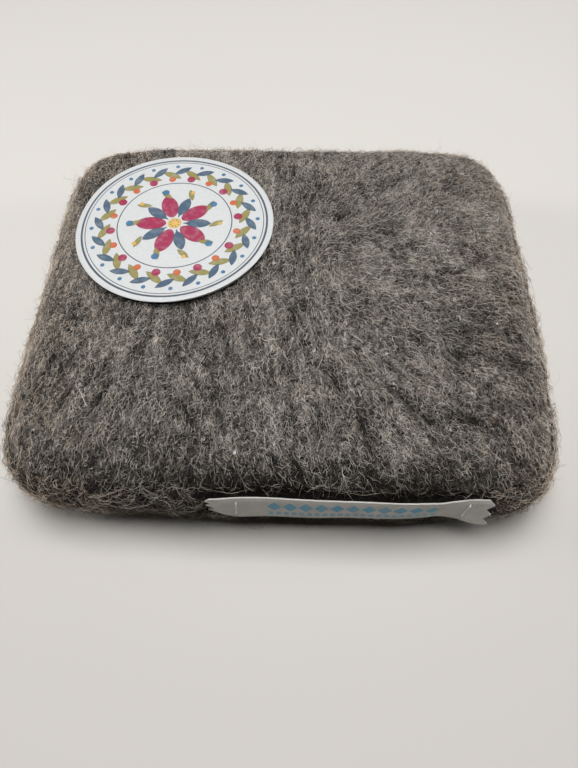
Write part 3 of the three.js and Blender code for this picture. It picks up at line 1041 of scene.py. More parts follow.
def nap_tree():
    """Single fibres strewn over a surface, laid along its flow, crimped, and tucked in at one end or both."""
    sockets = [
        ("Surface", "NodeSocketGeometry", None),
        ("Density", "NodeSocketFloat", 0.0),
        ("Seed", "NodeSocketInt", 0),
        ("Length", "NodeSocketFloat", 4 * mm),
        ("Width", "NodeSocketFloat", 0.1 * mm),
        ("Steps", "NodeSocketInt", 5),
        ("Lift", "NodeSocketFloat", 0.9 * mm),
        ("Tuck", "NodeSocketFloat", 0.25 * mm),
        ("Free", "NodeSocketFloat", 0.0),
        ("Curl", "NodeSocketFloat", 1.4 * mm),
        ("Curl size", "NodeSocketFloat", 1.9 * mm),
        ("Spread", "NodeSocketFloat", 1.0),
        ("Shade", "NodeSocketFloat", 0.5),
        ("Shade range", "NodeSocketFloat", 0.8),
        ("Mottle", "NodeSocketFloat", 0.36),
        ("Locks", "NodeSocketFloat", 0.5),
        ("Finish", "NodeSocketMaterial", None),
    ]
    tree, start, end = new_group("wool_nap", "GeometryNodeTree", sockets, [("Fibres", "NodeSocketGeometry")])
    given = start.outputs

    def attribute(name, kind):
        return add_node(tree, "GeometryNodeInputNamedAttribute", {"Name": name}, data_type=kind).outputs[0]

    def chance(draw, low=0.0, high=1.0):
        inputs = {"Min_001": low, "Max_001": high, "Seed": fibre_draws[draw]}
        made = add_node(tree, "FunctionNodeRandomValue", inputs, data_type="FLOAT")
        return socket_of(made.outputs, "Value_001")

    def stored(geometry, name, kind, domain, value):
        inputs = {"Geometry": geometry, "Name": name, "Value": value}
        made = add_node(tree, "GeometryNodeStoreNamedAttribute", inputs, data_type=kind, domain=domain)
        return made.outputs[0]

    density = calc(tree, "MULTIPLY", given["Density"], attribute("cover", "FLOAT"))
    inputs = {"Mesh": given["Surface"], "Density": density, "Seed": given["Seed"]}
    strewn = add_node(tree, "GeometryNodeDistributePointsOnFaces", inputs)
    place = tree.nodes.new("GeometryNodeInputPosition").outputs[0]
    inputs = {"Vector": place, "Scale": 75.0, "Detail": 3.5, "Roughness": given["Locks"]}
    patches = add_node(tree, "ShaderNodeTexNoise", inputs).outputs["Fac"]
    mottle = calc(tree, "MULTIPLY", calc(tree, "SUBTRACT", patches, 0.5), given["Mottle"])
    range_share = calc(tree, "MULTIPLY", chance("shade", -0.5, 0.5), given["Shade range"])
    range_share = calc(tree, "MULTIPLY", range_share, attribute("uneven", "FLOAT"))
    shade = calc(tree, "ADD", calc(tree, "ADD", given["Shade"], mottle), range_share)
    # The host's tone adds painted shade and painted light to the fibre's own shade.
    shade = calc(tree, "ADD", shade, attribute("tone", "FLOAT"))
    shade = calc(tree, "MINIMUM", calc(tree, "MAXIMUM", shade, 0.03), 0.97)
    hue = calc(tree, "ADD", chance("hue", 0.0, 2.99), attribute("warmth", "FLOAT"))
    hue = calc(tree, "FLOOR", hue)
    hue = calc(tree, "MINIMUM", calc(tree, "MAXIMUM", hue, 0.0), len(wool_tints) - 1)
    shade = calc(tree, "DIVIDE", calc(tree, "ADD", hue, shade), len(wool_tints))
    points = stored(strewn.outputs["Points"], "shade", "FLOAT", "POINT", shade)
    points = stored(points, "strand", "FLOAT", "POINT", chance("strand", 0.0, 90.0))
    points = stored(points, "lift", "FLOAT", "POINT", calc(tree, "POWER", chance("lift"), 1.8))

    axes = {"Primary Axis": strewn.outputs["Normal"], "Secondary Axis": attribute("flow", "FLOAT_VECTOR")}
    lay = add_node(tree, "FunctionNodeAxesToRotation", axes, primary_axis="Z", secondary_axis="X").outputs[0]
    odds = calc(tree, "POWER", chance("turn", 0.0, 1.3), 2.2)
    side = calc(tree, "SIGN", chance("side", -1.0, 1.0))
    angle = calc(tree, "MULTIPLY", calc(tree, "MULTIPLY", odds, side), given["Spread"])
    turn = add_node(tree, "FunctionNodeAxisAngleToRotation", {"Axis": (0, 0, 1), "Angle": angle}).outputs[0]
    inputs = {"Rotation": lay, "Rotate By": turn}
    lay = add_node(tree, "FunctionNodeRotateRotation", inputs, rotation_space="LOCAL").outputs[0]

    count = calc(tree, "ADD", given["Steps"], 1.0)
    ends = {"Start": (-0.5, 0.0, 0.0), "End": (0.5, 0.0, 0.0)}
    line = add_node(tree, "GeometryNodeCurvePrimitiveLine", ends).outputs[0]
    line = add_node(tree, "GeometryNodeResampleCurve", {"Curve": line, "Count": count}).outputs[0]
    length = calc(tree, "MULTIPLY", given["Length"], chance("length", 0.55, 1.35))
    inputs = {"Points": points, "Instance": line, "Rotation": lay}
    inputs["Scale"] = combined(tree, length, 1.0, 1.0)
    fibres = add_node(tree, "GeometryNodeInstanceOnPoints", inputs).outputs[0]
    fibres = add_node(tree, "GeometryNodeRealizeInstances", {"Geometry": fibres}).outputs[0]

    inputs = {"Vector": place, "W": attribute("strand", "FLOAT"), "Detail": 1.0}
    inputs["Scale"] = calc(tree, "DIVIDE", 1.0, given["Curl size"])
    waves = add_node(tree, "ShaderNodeTexNoise", inputs, noise_dimensions="4D").outputs["Color"]
    curl = vector_calc(tree, "SUBTRACT", waves, (0.5, 0.5, 0.5))
    curl = scaled(tree, curl, calc(tree, "MULTIPLY", given["Curl"], 2.0))
    wandered = vector_calc(tree, "ADD", place, curl)
    inputs = {"Target": given["Surface"], "Source Position": wandered}
    nearest = add_node(tree, "GeometryNodeProximity", inputs, target_element="FACES").outputs["Position"]

    def sampled(name, kind):
        inputs = {"Mesh": given["Surface"], "Value": attribute(name, kind), "Sample Position": wandered}
        return add_node(tree, "GeometryNodeSampleNearestSurface", inputs, data_type=kind).outputs[0]

    way = tree.nodes.new("GeometryNodeSplineParameter").outputs["Factor"]
    arch = calc(tree, "SINE", calc(tree, "MULTIPLY", way, math.pi))
    rising = calc(tree, "POWER", way, 1.5)
    inputs = {0: given["Free"], 2: arch, 3: rising}
    blend = add_node(tree, "ShaderNodeMix", inputs, data_type="FLOAT").outputs[0]
    lift = calc(tree, "MULTIPLY", attribute("lift", "FLOAT"), given["Lift"])
    lift = calc(tree, "ADD", lift, given["Tuck"])
    lift = calc(tree, "MULTIPLY", calc(tree, "MULTIPLY", lift, blend), sampled("room", "FLOAT"))
    height = calc(tree, "SUBTRACT", lift, given["Tuck"])
    over = scaled(tree, sampled("facing", "FLOAT_VECTOR"), height)
    spot = vector_calc(tree, "ADD", nearest, over)
    spot = vector_calc(tree, "MAXIMUM", spot, (-1.0, -1.0, 0.25 * mm))
    fibres = add_node(tree, "GeometryNodeSetPosition", {"Geometry": fibres, "Position": spot}).outputs[0]
    fibres = stored(fibres, "way", "FLOAT", "POINT", way)

    belly = calc(tree, "POWER", calc(tree, "MAXIMUM", arch, 0.0), 0.5)
    girth = calc(tree, "MULTIPLY", given["Width"], calc(tree, "MULTIPLY_ADD", belly, 0.75, 0.25))
    ring = add_node(tree, "GeometryNodeCurvePrimitiveCircle", {"Resolution": 3, "Radius": 0.5}).outputs[0]
    inputs = {"Curve": fibres, "Profile Curve": ring, "Scale": girth, "Fill Caps": True}
    tubes = add_node(tree, "GeometryNodeCurveToMesh", inputs).outputs[0]
    index = tree.nodes.new("GeometryNodeInputIndex").outputs[0]
    facet = calc(tree, "MULTIPLY_ADD", calc(tree, "MODULO", index, 3.0), 0.004, -0.004)
    tint = calc(tree, "ADD", attribute("shade", "FLOAT"), facet)
    chart = combined(tree, tint, attribute("way", "FLOAT"))
    tubes = stored(tubes, "OFBake", "FLOAT2", "CORNER", chart)
    tree.links.new(finished(tree, tubes, given["Finish"]), end.inputs[0])
    return tree


def grown(name, host, tree, values):
    """The plain mesh that a tree makes of a host mesh."""
    piece = bpy.data.objects.new(name, host)
    bpy.context.scene.collection.objects.link(piece)
    modifier = piece.modifiers.new(name, "NODES")
    modifier.node_group = tree
    for item in tree.interface.items_tree:
        if item.in_out == "INPUT" and item.name in values:
            modifier[item.identifier] = values[item.name]
    shown = piece.evaluated_get(bpy.context.evaluated_depsgraph_get())
    mesh = bpy.data.meshes.new_from_object(shown)
    bpy.data.objects.remove(piece)
    mesh.name = name
    for attribute in tree_stores + host_stores:
        if attribute in mesh.attributes:
            mesh.attributes.remove(mesh.attributes[attribute])
    return mesh


def nap_host(grids):
    """The whole outer surface as one mesh, with what the nap reads from it."""
    base, side, top = grids
    rings = [*base[:-1], *side[:-1], *top]
    ends = (0, middle_y, 0), (0, middle_y, top[-1][:, 2].mean())
    mesh = outwards(ring_mesh("nap_host", rings, *ends))
    points, facing = surface_of(mesh)
    count = len(points)
    x, y = points[:, 0] / mm, (points[:, 1] - middle_y) / mm

    angle = np.radians(lay_angle(x, y) + 25 * lumps(points, 18 * mm, 21))
    over_top = np.stack([np.cos(angle), np.sin(angle), np.zeros(count)], 1)
    round_side = np.stack([-facing[:, 1], facing[:, 0], 0.9 * lumps(points, 14 * mm, 22)], 1)
    round_side *= np.where((round_side * over_top).sum(1) < 0, -1, 1)[:, None]
    on_top = smooth(facing[:, 2], 0.25, 0.7)[:, None]
    flow = over_top * on_top + round_side * (1 - on_top)
    flow -= (flow * facing).sum(1, keepdims=True) * facing

    reach = points - label_corner
    up = reach @ label_up
    tape = between(reach[:, 0], -1.5 * mm, 0.5 * mm, tape_length - 0.5 * mm, tape_length + mm)
    tape = tape * between(up, -0.5 * mm, 0.8 * mm, tape_width - 0.8 * mm, tape_width + 0.8 * mm)
    tape = tape * (facing[:, 1] < 0) * (points[:, 1] < middle_y)
    reach = np.hypot(points[:, 0] - sticker_x, points[:, 1] - sticker_y)
    paper = (1 - smooth(reach, sticker_radius - 1.2 * mm, sticker_radius + 0.2 * mm)) * (facing[:, 2] > 0.5)
    room = (1 - 0.95 * tape) * (1 - 0.95 * paper) * (0.35 + 0.65 * smooth(points[:, 2], 1.5 * mm, 6 * mm))

    warmth = 0.6 * lumps(points, 20 * mm, 23) + 1.2 * smooth(np.abs(x), 45, 85)
    warmth = warmth + 0.9 * smooth(-x, 45, 75) + 0.8 * smooth(points[:, 1] / mm, 50, 72)
    warmth = warmth + (1 - smooth(facing[:, 2], 0.2, 0.7))
    uneven = 1 - (0.25 * smooth(x, 20, 50) + 0.3 * smooth(x, 10, 40) * smooth(y, 10, 45)) * on_top[:, 0]
    uneven = uneven + 0.6 * smooth(-facing[:, 1], 0.1, 0.5) * (1 - 0.6 * smooth(x, 10, 50))
    add_attribute(mesh, "flow", flow)
    add_attribute(mesh, "facing", facing)
    add_attribute(mesh, "room", room)
    add_attribute(mesh, "tone", wool_tone_and_painted_light(points, facing))
    add_attribute(mesh, "warmth", warmth)
    add_attribute(mesh, "uneven", uneven)
    bare = (1 - tape) * (1 - paper) * (1 - 0.45 * pit_share(points, facing))
    return mesh, points, facing, bare


def with_cover(host, cover):
    """A copy of the host, with the share of fibres that each place takes."""
    mesh = host.copy()
    add_attribute(mesh, "cover", cover)
    return mesh


# Wool from its darkest to its palest fibres
wool_shades = [
    (0.0, (0.012, 0.010, 0.009)),
    (0.3, (0.15, 0.134, 0.119)),
    (0.6, (0.57, 0.525, 0.481)),
    (1.0, (0.94, 0.90, 0.85)),
]

# What each coat of fibres gives the tree; the rest are the tree's own start values
top_coat = {"Density": 228000.0, "Length": 3.4 * mm, "Steps": 6, "Width": 0.11 * mm}
top_coat |= {"Curl": 0.85 * mm, "Curl size": 1.4 * mm, "Spread": 0.7, "Shade range": 0.74, "Mottle": 0.4}
side_coat = {"Density": 320000.0, "Length": 5 * mm, "Steps": 8, "Curl": 1.9 * mm, "Curl size": 2.2 * mm}
side_coat |= {"Spread": 3.0, "Lift": 1.8 * mm, "Width": 0.1 * mm, "Shade range": 1.0}
side_coat |= {"Mottle": 1.1, "Locks": 0.8}
fuzz = {"Density": 780000.0, "Length": 4 * mm, "Width": 0.055 * mm, "Curl": 1.6 * mm, "Curl size": 3 * mm}
fuzz |= {"Steps": 3, "Spread": 3.0, "Lift": 4 * mm, "Free": 1.0, "Shade": 0.6}
strands = {"Density": 45000.0, "Length": 16 * mm, "Steps": 18, "Width": 0.085 * mm, "Curl": 2.2 * mm}
strands |= {"Curl size": 5 * mm, "Spread": 0.5, "Lift": 2 * mm, "Shade": 0.62}
strays = {"Density": 25000.0, "Length": 13 * mm, "Steps": 14, "Width": 0.075 * mm, "Curl": 4 * mm}
strays |= {"Curl size": 5 * mm, "Spread": 3.0, "Lift": 7 * mm, "Free": 1.0, "Shade": 0.7}
kemp = {"Density": 700.0, "Length": 7 * mm, "Steps": 4, "Curl": 0.6 * mm, "Curl size": 9 * mm}
kemp |= {"Spread": 3.0, "Lift": 1.2 * mm, "Shade": 0.7, "Width": 0.09 * mm}
top_coats = 5
side_coats = 3


def add_nap(grids):
    """The coats of fibres, each over its own part of the surface."""
    host, points, facing, bare = nap_host(grids)
    tree = nap_tree()
    fibre = fibre_wool("wool_fibre", wool_shades)
    upward = facing[:, 2]
    top = smooth(upward, 0.2, 0.55) * bare
    sole = 1 - smooth(points[:, 2], 1.5 * mm, 6 * mm)
    side = (1 - smooth(upward, 0.45, 0.8)) * smooth(upward, -0.93, -0.75) * bare
    side = side * (1 - 0.85 * sole)
    locked = side * (0.3 + 0.7 * smooth(lumps(points, 2.4 * mm, 47), -0.2, 0.2))
    front = side * smooth(-facing[:, 1], -0.3, 0.3) * smooth(points[:, 2], 4 * mm, 8 * mm)
    rim = (1 - smooth(upward, 0.6, 0.85)) * smooth(upward, -0.7, -0.4) * bare
    rim = rim * (1 - 0.85 * smooth(facing[:, 0], 0.2, 0.7)) * (1 - sole)
    rim = rim * (1 - 0.5 * smooth(-facing[:, 0], 0.2, 0.7))
    coats = []
    for index in range(top_coats):
        coats.append((f"top_nap_{index + 1}", "wool_top", top, 31 + index, top_coat))
    for index in range(side_coats):
        coats.append((f"side_nap_{index + 1}", "wool_edge", locked, 41 + index, side_coat))
    coats.append(("side_strands", "wool_edge", front, 46, strands))
    coats.append(("short_fuzz", "wool_edge", rim, 51, fuzz))
    coats.append(("stray_hairs", "wool_edge", (0.05 * top + side).clip(0, 1), 61, strays))
    coats.append(("kemp_hairs", "wool_top", top, 71, kemp))
    for name, slot, cover, seed, values in coats:
        mesh = grown(name, with_cover(host, cover), tree, {"Seed": seed, "Finish": fibre, **values})
        add_piece(name, mesh, None)
    add_pale_hair(points)
    bpy.data.meshes.remove(host)


# One pale hair: its tip and root in mm from the block's middle, and how it is drawn
pale_hair_ends = (-61.2, -42.7), (-57.5, -49.0)
hair_lift = 0.9 * mm
hair_arch = 0.3 * mm
hair_rings = 6
hair_sides = 5


def add_pale_hair(surface):
    """One stiff pale hair that lies across the near left of the work face."""
    face = surface[surface[:, 2] > half_height]
    ends = []
    for x, y in pale_hair_ends:
        place = np.array([x * mm, y * mm + middle_y])
        nearest = face[np.argmin(np.hypot(*(face[:, :2] - place).T))]
        ends.append(np.array([*place, nearest[2] + hair_lift]))
    tip, root = ends
    lie = (root - tip) / np.linalg.norm(root - tip)
    upright = np.array([0, 0, 1])
    aside = np.cross(lie, upright)
    turns = np.arange(hair_sides) * 2 * math.pi / hair_sides
    rings = []
    for share in np.linspace(0.05, 0.95, hair_rings):
        middle = tip + (root - tip) * share + (0, 0, hair_arch * math.sin(math.pi * share))
        girth = (0.03 + 0.07 * share) * mm
        rings.append([middle + girth * (math.cos(turn) * aside + math.sin(turn) * upright) for turn in turns])
    mesh = outwards(ring_mesh("pale_hair", rings, tip, root))
    material = new_material("pale_hair", 0.45, Base_Color=(0.93, 0.88, 0.82, 1), Specular_IOR_Level=0.5)[0]
    add_piece("pale_hair", mesh, material)


# Sticker


def sticker_ring(radius, lift):
    """A ring of the sticker, which follows the work face and comes loose at the front right of its rim."""
    angle = np.linspace(0, 2 * math.pi, sticker_steps, endpoint=False)
    x = sticker_x + radius * np.cos(angle)
    y = sticker_y + radius * np.sin(angle)
    rim = smooth(radius / sticker_radius, 0.55, 1.0)
    off_loose = np.angle(np.exp(1j * (angle - loose_turn)))
    loose = loose_lift * rim**2 * bump(off_loose, 0, loose_spread)
    wave = 0.1 * mm * rim * np.sin(3 * angle + 0.4)
    return np.stack([x, y, face_height(plan_share(x, y)) + sticker_lift + lift + loose + wave], 1)


# Width of the ink's soft edge and of its darker rim, and of a printed line's soft edge
ink_edge = 0.12 * mm
ink_rim = 0.45 * mm
line_edge = 0.1 * mm


def printed_motif_group():
    """A leaf, petal or dot, repeated round a ring: its mask, and the darker rim that the ink leaves."""
    sockets = [
        ("Vector", "NodeSocketVector", None),
        ("Count", "NodeSocketFloat", 8.0),
        ("Ring", "NodeSocketFloat", 10 * mm),
        ("Phase", "NodeSocketFloat", 0.0),
        ("Turn", "NodeSocketFloat", 0.0),
        ("Length", "NodeSocketFloat", 3 * mm),
        ("Width", "NodeSocketFloat", 1 * mm),
        ("Point", "NodeSocketFloat", 0.5),
    ]
    outputs = [("Mask", "NodeSocketFloat"), ("Rim", "NodeSocketFloat")]
    tree, start, end = new_group("printed_motif", "ShaderNodeTree", sockets, outputs)
    given = start.outputs
    axes = separated(tree, given["Vector"])
    radius = flat_length(tree, given["Vector"])
    angle = calc(tree, "DIVIDE", calc(tree, "ARCTAN2", axes[1], axes[0]), 2 * math.pi)
    cell = calc(tree, "FRACT", calc(tree, "MULTIPLY_ADD", angle, given["Count"], given["Phase"]))
    cell = calc(tree, "MULTIPLY", calc(tree, "SUBTRACT", cell, 0.5), 2 * math.pi)
    cell = calc(tree, "DIVIDE", cell, given["Count"])
    outward = calc(tree, "MULTIPLY", radius, calc(tree, "COSINE", cell))
    outward = calc(tree, "SUBTRACT", outward, given["Ring"])
    sideways = calc(tree, "MULTIPLY", radius, calc(tree, "SINE", cell))
    cosine = calc(tree, "COSINE", given["Turn"])
    sine = calc(tree, "SINE", given["Turn"])
    along = calc(tree, "MULTIPLY", outward, cosine)
    along = calc(tree, "ADD", along, calc(tree, "MULTIPLY", sideways, sine))
    across = calc(tree, "MULTIPLY", sideways, cosine)
    across = calc(tree, "SUBTRACT", across, calc(tree, "MULTIPLY", outward, sine))
    share = calc(tree, "POWER", calc(tree, "DIVIDE", along, given["Length"]), 2.0)
    belly = calc(tree, "MAXIMUM", calc(tree, "SUBTRACT", 1.0, share), 0.0)
    belly = calc(tree, "POWER", belly, given["Point"])
    inside = calc(tree, "MULTIPLY", belly, given["Width"])
    inside = calc(tree, "SUBTRACT", inside, calc(tree, "ABSOLUTE", across))
    mask = clamped(tree, inside, 1 / ink_edge, 0.0)
    rim = clamped(tree, inside, -1 / ink_rim, 1.0)
    tree.links.new(mask, end.inputs["Mask"])
    tree.links.new(calc(tree, "MULTIPLY", rim, mask), end.inputs["Rim"])
    return tree


# Inks
navy = (0.03, 0.047, 0.078)
slate = (0.075, 0.125, 0.19)
blue = (0.06, 0.18, 0.33)
crimson = (0.35, 0.034, 0.095)
orange = (0.56, 0.14, 0.055)
olive = (0.29, 0.26, 0.095)
ochre = (0.70, 0.45, 0.12)

# Printed pattern: ink, then count, ring, phase, turn, length, width (mm) and how pointed the motif is
sticker_motifs = [
    (olive, 20, 25.4, 0.0, 1.0, 4.2, 1.5, 1.0),
    (slate, 20, 27.6, 0.5, -1.0, 3.8, 1.4, 1.0),
    (crimson, 10, 23.0, 0.25, 0.0, 1.6, 1.6, 0.5),
    (orange, 10, 23.0, 0.75, 0.0, 1.35, 1.35, 0.5),
    (blue, 20, 30.0, 0.25, 0.0, 0.8, 0.8, 0.5),
    (crimson, 5, 8.6, 0.0, 0.0, 5.6, 3.1, 0.6),
    (slate, 5, 8.6, 0.5, 0.0, 4.6, 2.1, 0.75),
    (olive, 10, 15.0, 0.5, 0.55, 3.0, 1.1, 1.0),
    (blue, 5, 16.4, 0.0, 0.0, 1.35, 1.35, 0.5),
    (ochre, 5, 16.4, 0.5, 0.0, 0.85, 0.85, 0.5),
    (slate, 5, 4.4, 0.5, 0.0, 1.5, 0.42, 0.8),
    (ochre, 1, 0.0, 0.0, 0.0, 2.5, 2.5, 0.5),
    (slate, 8, 1.5, 0.0, 0.0, 0.28, 0.28, 0.5),
]

# Printed rings: radius and width in mm
sticker_lines = [(20.7, 0.4), (32.2, 0.3), (33.4, 0.75)]


def printed_paper():
    """Pale paper with the pattern, whose ink is washed and has darker rims."""
    material, tree, shader = new_material("printed_paper", 0.42, Specular_IOR_Level=0.4)
    group = printed_motif_group()
    place = object_place(tree, (sticker_x, sticker_y, 0))
    fibres = clouds(tree, place, 900.0, 4.0)
    color = ramp(tree, fibres, [(0.3, (0.60, 0.62, 0.635)), (0.7, (0.65, 0.67, 0.685))])
    ink = calc(tree, "MULTIPLY_ADD", clouds(tree, place, 420.0, 3.0), 0.7, 0.62)
    ink = calc(tree, "MINIMUM", ink, 1.0)
    for shade, count, ring, phase, turn, length, width, point in sticker_motifs:
        inputs = {"Vector": place, "Count": count, "Ring": ring * mm, "Phase": phase, "Turn": turn}
        inputs |= {"Length": length * mm, "Width": width * mm, "Point": point}
        motif = use_group(tree, group, inputs)
        color = mixed(tree, calc(tree, "MULTIPLY", motif.outputs["Mask"], ink), color, (*shade, 1))
        deep = tuple(0.42 * value for value in shade)
        color = mixed(tree, calc(tree, "MULTIPLY", motif.outputs["Rim"], 0.55), color, (*deep, 1))
    radius = flat_length(tree, place)
    for ring, width in sticker_lines:
        off = calc(tree, "ABSOLUTE", calc(tree, "SUBTRACT", radius, ring * mm))
        line = clamped(tree, calc(tree, "SUBTRACT", width / 2 * mm, off), 1 / line_edge, 0.5)
        color = mixed(tree, calc(tree, "MULTIPLY", line, 0.9), color, (*navy, 1))
    tree.links.new(color, shader.inputs["Base Color"])
    bumped(tree, shader, fibres, 0.03 * mm, 0.3)
    return material


def tacky_film():
    """Smeared adhesive."""
    material, tree, shader = new_material("tacky_film", 0.35, Specular_IOR_Level=0.5)
    smears = clouds(tree, object_place(tree), 160.0, 5.0)
    color = ramp(tree, smears, [(0.35, (0.60, 0.55, 0.44)), (0.65, (0.72, 0.68, 0.58))])
    tree.links.new(color, shader.inputs["Base Color"])
    bumped(tree, shader, smears, 0.05 * mm, 0.4)
    return material


def add_sticker():
    radii = np.concatenate([np.linspace(0.02, 0.97, 20), [0.99]]) * sticker_radius
    under = [sticker_ring(radius, 0) for radius in radii]
    edge = [sticker_ring(sticker_radius, lift) for lift in (sticker_soft, sticker_thickness - sticker_soft)]
    over = [sticker_ring(radius, sticker_thickness) for radius in radii[::-1]]
    ends = under[0].mean(0), over[-1].mean(0)
    mesh = outwards(ring_mesh("sticker_paper", under + edge + over, *ends))
    piece = add_piece("sticker_paper", mesh, printed_paper())
    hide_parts("sticker_face")

    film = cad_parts["sticker_adhesive"]
    film.data.materials.clear()
    film.data.materials.append(tacky_film())


# Tape label


# Weave and print of the tape, in mm: pitches, heights of the rows of marks, and where the print lies along it
rib_pitch = 0.62
row_pitch = 0.5
lozenge_pitch = 4.6
lozenge_row = 8.2
dash_pitch = 2.3
dash_row = 3.2
dash_half = 1.3
print_middle = 43.7
print_half = 25.3
mark_ink = (0.085, 0.39, 0.58, 1)
# Painted shade on the tape's two edges
painted_edge_shade_tint = (0.46, 0.448, 0.427, 1)

# Bands of the tape's map, from low to high: its back, its rim and its front
back_band = 0.005, 0.485
rim_band = 0.492, 0.508
front_band = 0.515, 0.995


def woven_tape():
    """Off-white woven tape: ribs across it, a woven edge at both sides darkened with painted shade, and two
    printed rows of plain marks.
    """
    material, tree, shader = new_material("woven_tape", 0.85, Specular_IOR_Level=0.2)

    def fold(value, pitch):
        share = calc(tree, "FRACT", calc(tree, "DIVIDE", value, pitch))
        return calc(tree, "MULTIPLY", calc(tree, "ABSOLUTE", calc(tree, "SUBTRACT", share, 0.5)), 2.0)

    def off(value, place):
        return calc(tree, "ABSOLUTE", calc(tree, "SUBTRACT", value, place))

    chart = add_node(tree, "ShaderNodeUVMap", uv_map="OFBake").outputs[0]
    axes = separated(tree, chart)
    along = calc(tree, "MULTIPLY", axes[0], tape_length / mm)
    front = calc(tree, "GREATER_THAN", axes[1], 0.5)
    up = calc(tree, "MULTIPLY", calc(tree, "FRACT", calc(tree, "MULTIPLY", axes[1], 2.0)), tape_width / mm)

    ribs = calc(tree, "SINE", calc(tree, "MULTIPLY", along, 2 * math.pi / rib_pitch))
    rows = calc(tree, "SINE", calc(tree, "MULTIPLY", up, 2 * math.pi / row_pitch))
    weave = calc(tree, "MULTIPLY", ribs, calc(tree, "MULTIPLY_ADD", rows, 0.35, 0.65))
    edge = calc(tree, "MINIMUM", up, calc(tree, "SUBTRACT", tape_width / mm, up))
    # Band of the woven edges: it raises their relief and darkens both edges with painted shade.
    selvedge_and_edge_shade = clamped(tree, edge, -1.6, 1.9)
    slub = clouds(tree, object_place(tree), 260.0, 4.0)
    tone = calc(tree, "MULTIPLY_ADD", weave, 0.06, calc(tree, "MULTIPLY", slub, 0.8))
    color = ramp(tree, tone, [(0.25, (0.505, 0.49, 0.463)), (0.6, (0.625, 0.61, 0.585))])
    color = mixed(tree, calc(tree, "MULTIPLY", selvedge_and_edge_shade, 0.6), color, painted_edge_shade_tint)

    within = clamped(tree, calc(tree, "SUBTRACT", print_half, off(along, print_middle)), 4.0, 0.0)
    slope = calc(tree, "MULTIPLY", calc(tree, "SUBTRACT", 1.0, fold(along, lozenge_pitch)), 4.0)
    off_row = calc(tree, "ABSOLUTE", calc(tree, "MULTIPLY_ADD", up, 1.25, -1.25 * lozenge_row))
    lozenges = clamped(tree, calc(tree, "SUBTRACT", slope, off_row), 4.0, 0.0)
    bead = calc(tree, "MULTIPLY_ADD", fold(along, dash_pitch), -1.0, 0.75)
    bead = clamped(tree, bead, 6.0, 0.0)
    dash = clamped(tree, calc(tree, "SUBTRACT", dash_half, off(up, dash_row)), 5.0, 0.0)
    dashes = calc(tree, "MULTIPLY", calc(tree, "MULTIPLY", bead, dash), 0.8)
    marks = calc(tree, "MAXIMUM", lozenges, dashes)
    marks = calc(tree, "MULTIPLY", calc(tree, "MULTIPLY", marks, within), front)
    worn = calc(tree, "MULTIPLY_ADD", slub, 0.7, 0.38)
    color = mixed(tree, calc(tree, "MULTIPLY", marks, worn), color, mark_ink)
    tree.links.new(color, shader.inputs["Base Color"])
    relief = calc(tree, "ADD", weave, calc(tree, "MULTIPLY", selvedge_and_edge_shade, 1.5))
    bumped(tree, shader, relief, 0.07 * mm, 0.6)
    return material


def pinked(up, lowest_tip):
    """How far a pinked end stands back from its tips at a height on the tape."""
    return pink_depth * (1 - np.abs(1 - np.abs(up - lowest_tip) / (pink_pitch / 2) % 2))


def add_tape():
    """The tape as one bent sheet: back, front and a rim round both, with its map."""
    columns = 150
    rows = 52
    ups = np.linspace(0, tape_width, rows + 1)
    left = pinked(ups, left_tooth) + 0.7 * mm * smooth(ups, 9 * mm, 13 * mm)
    right = tape_length - pinked(ups, right_tooth)
    share = np.linspace(0, 1, columns + 1)
    along = left[None, :] + (right - left)[None, :] * share[:, None]
    up = np.repeat(ups[None, :], columns + 1, 0)
    back = tape_bend(along, up)
    fray = 0.12 * mm * lumps(np.stack([along, up, 0 * up], -1), 1.7 * mm, 31)
    edge = np.minimum(up, tape_width - up)
    up = up + fray * (edge < 0.1 * mm)
    points = []
    for out in (back, back + tape_thickness):
        points += [label_point(a, u, o) for a, u, o in zip(along.ravel(), up.ravel(), out.ravel())]
    chart = np.stack([along / tape_length, up / tape_width], -1).reshape(-1, 2)
    layer = len(points) // 2
    faces, corners = [], []

    def add_face(indices, spots):
        faces.append(indices)
        corners.extend(spots)

    def spot(index, band):
        a, u = chart[index % layer]
        low, high = band
        return 0.005 + 0.99 * a, low + (high - low) * min(max(u, 0), 1)

    def at(column, row):
        return column * (rows + 1) + row

    for column in range(columns):
        for row in range(rows):
            quad = [at(column, row), at(column + 1, row), at(column + 1, row + 1), at(column, row + 1)]
            add_face(quad[::-1], [spot(index, back_band) for index in quad[::-1]])
            face = [index + layer for index in quad]
            add_face(face, [spot(index, front_band) for index in face])
    rim = [at(column, 0) for column in range(columns)] + [at(columns, row) for row in range(rows)]
    rim += [at(column, rows) for column in range(columns, 0, -1)] + [at(0, row) for row in range(rows, 0, -1)]
    for first, second in zip(rim, rim[1:] + rim[:1]):
        quad = [first, second, second + layer, first + layer]
        places = [0.1 + 0.8 * (a * 0.7 + u * 0.3) for a, u in (chart[index % layer] for index in quad)]
        low, high = rim_band
        add_face(quad, list(zip(places, (low, low, high, high))))
    mesh = bpy.data.meshes.new("tape_label")
    mesh.from_pydata([tuple(point) for point in points], [], faces)
    layer_map = mesh.uv_layers.new(name="OFBake")
    layer_map.data.foreach_set("uv", np.array(corners, dtype=np.float32).ravel())
    outwards(mesh)
    mesh.set_sharp_from_angle(angle=math.radians(50))
    piece = add_piece("tape_label", mesh, woven_tape())
    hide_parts("label_tape")


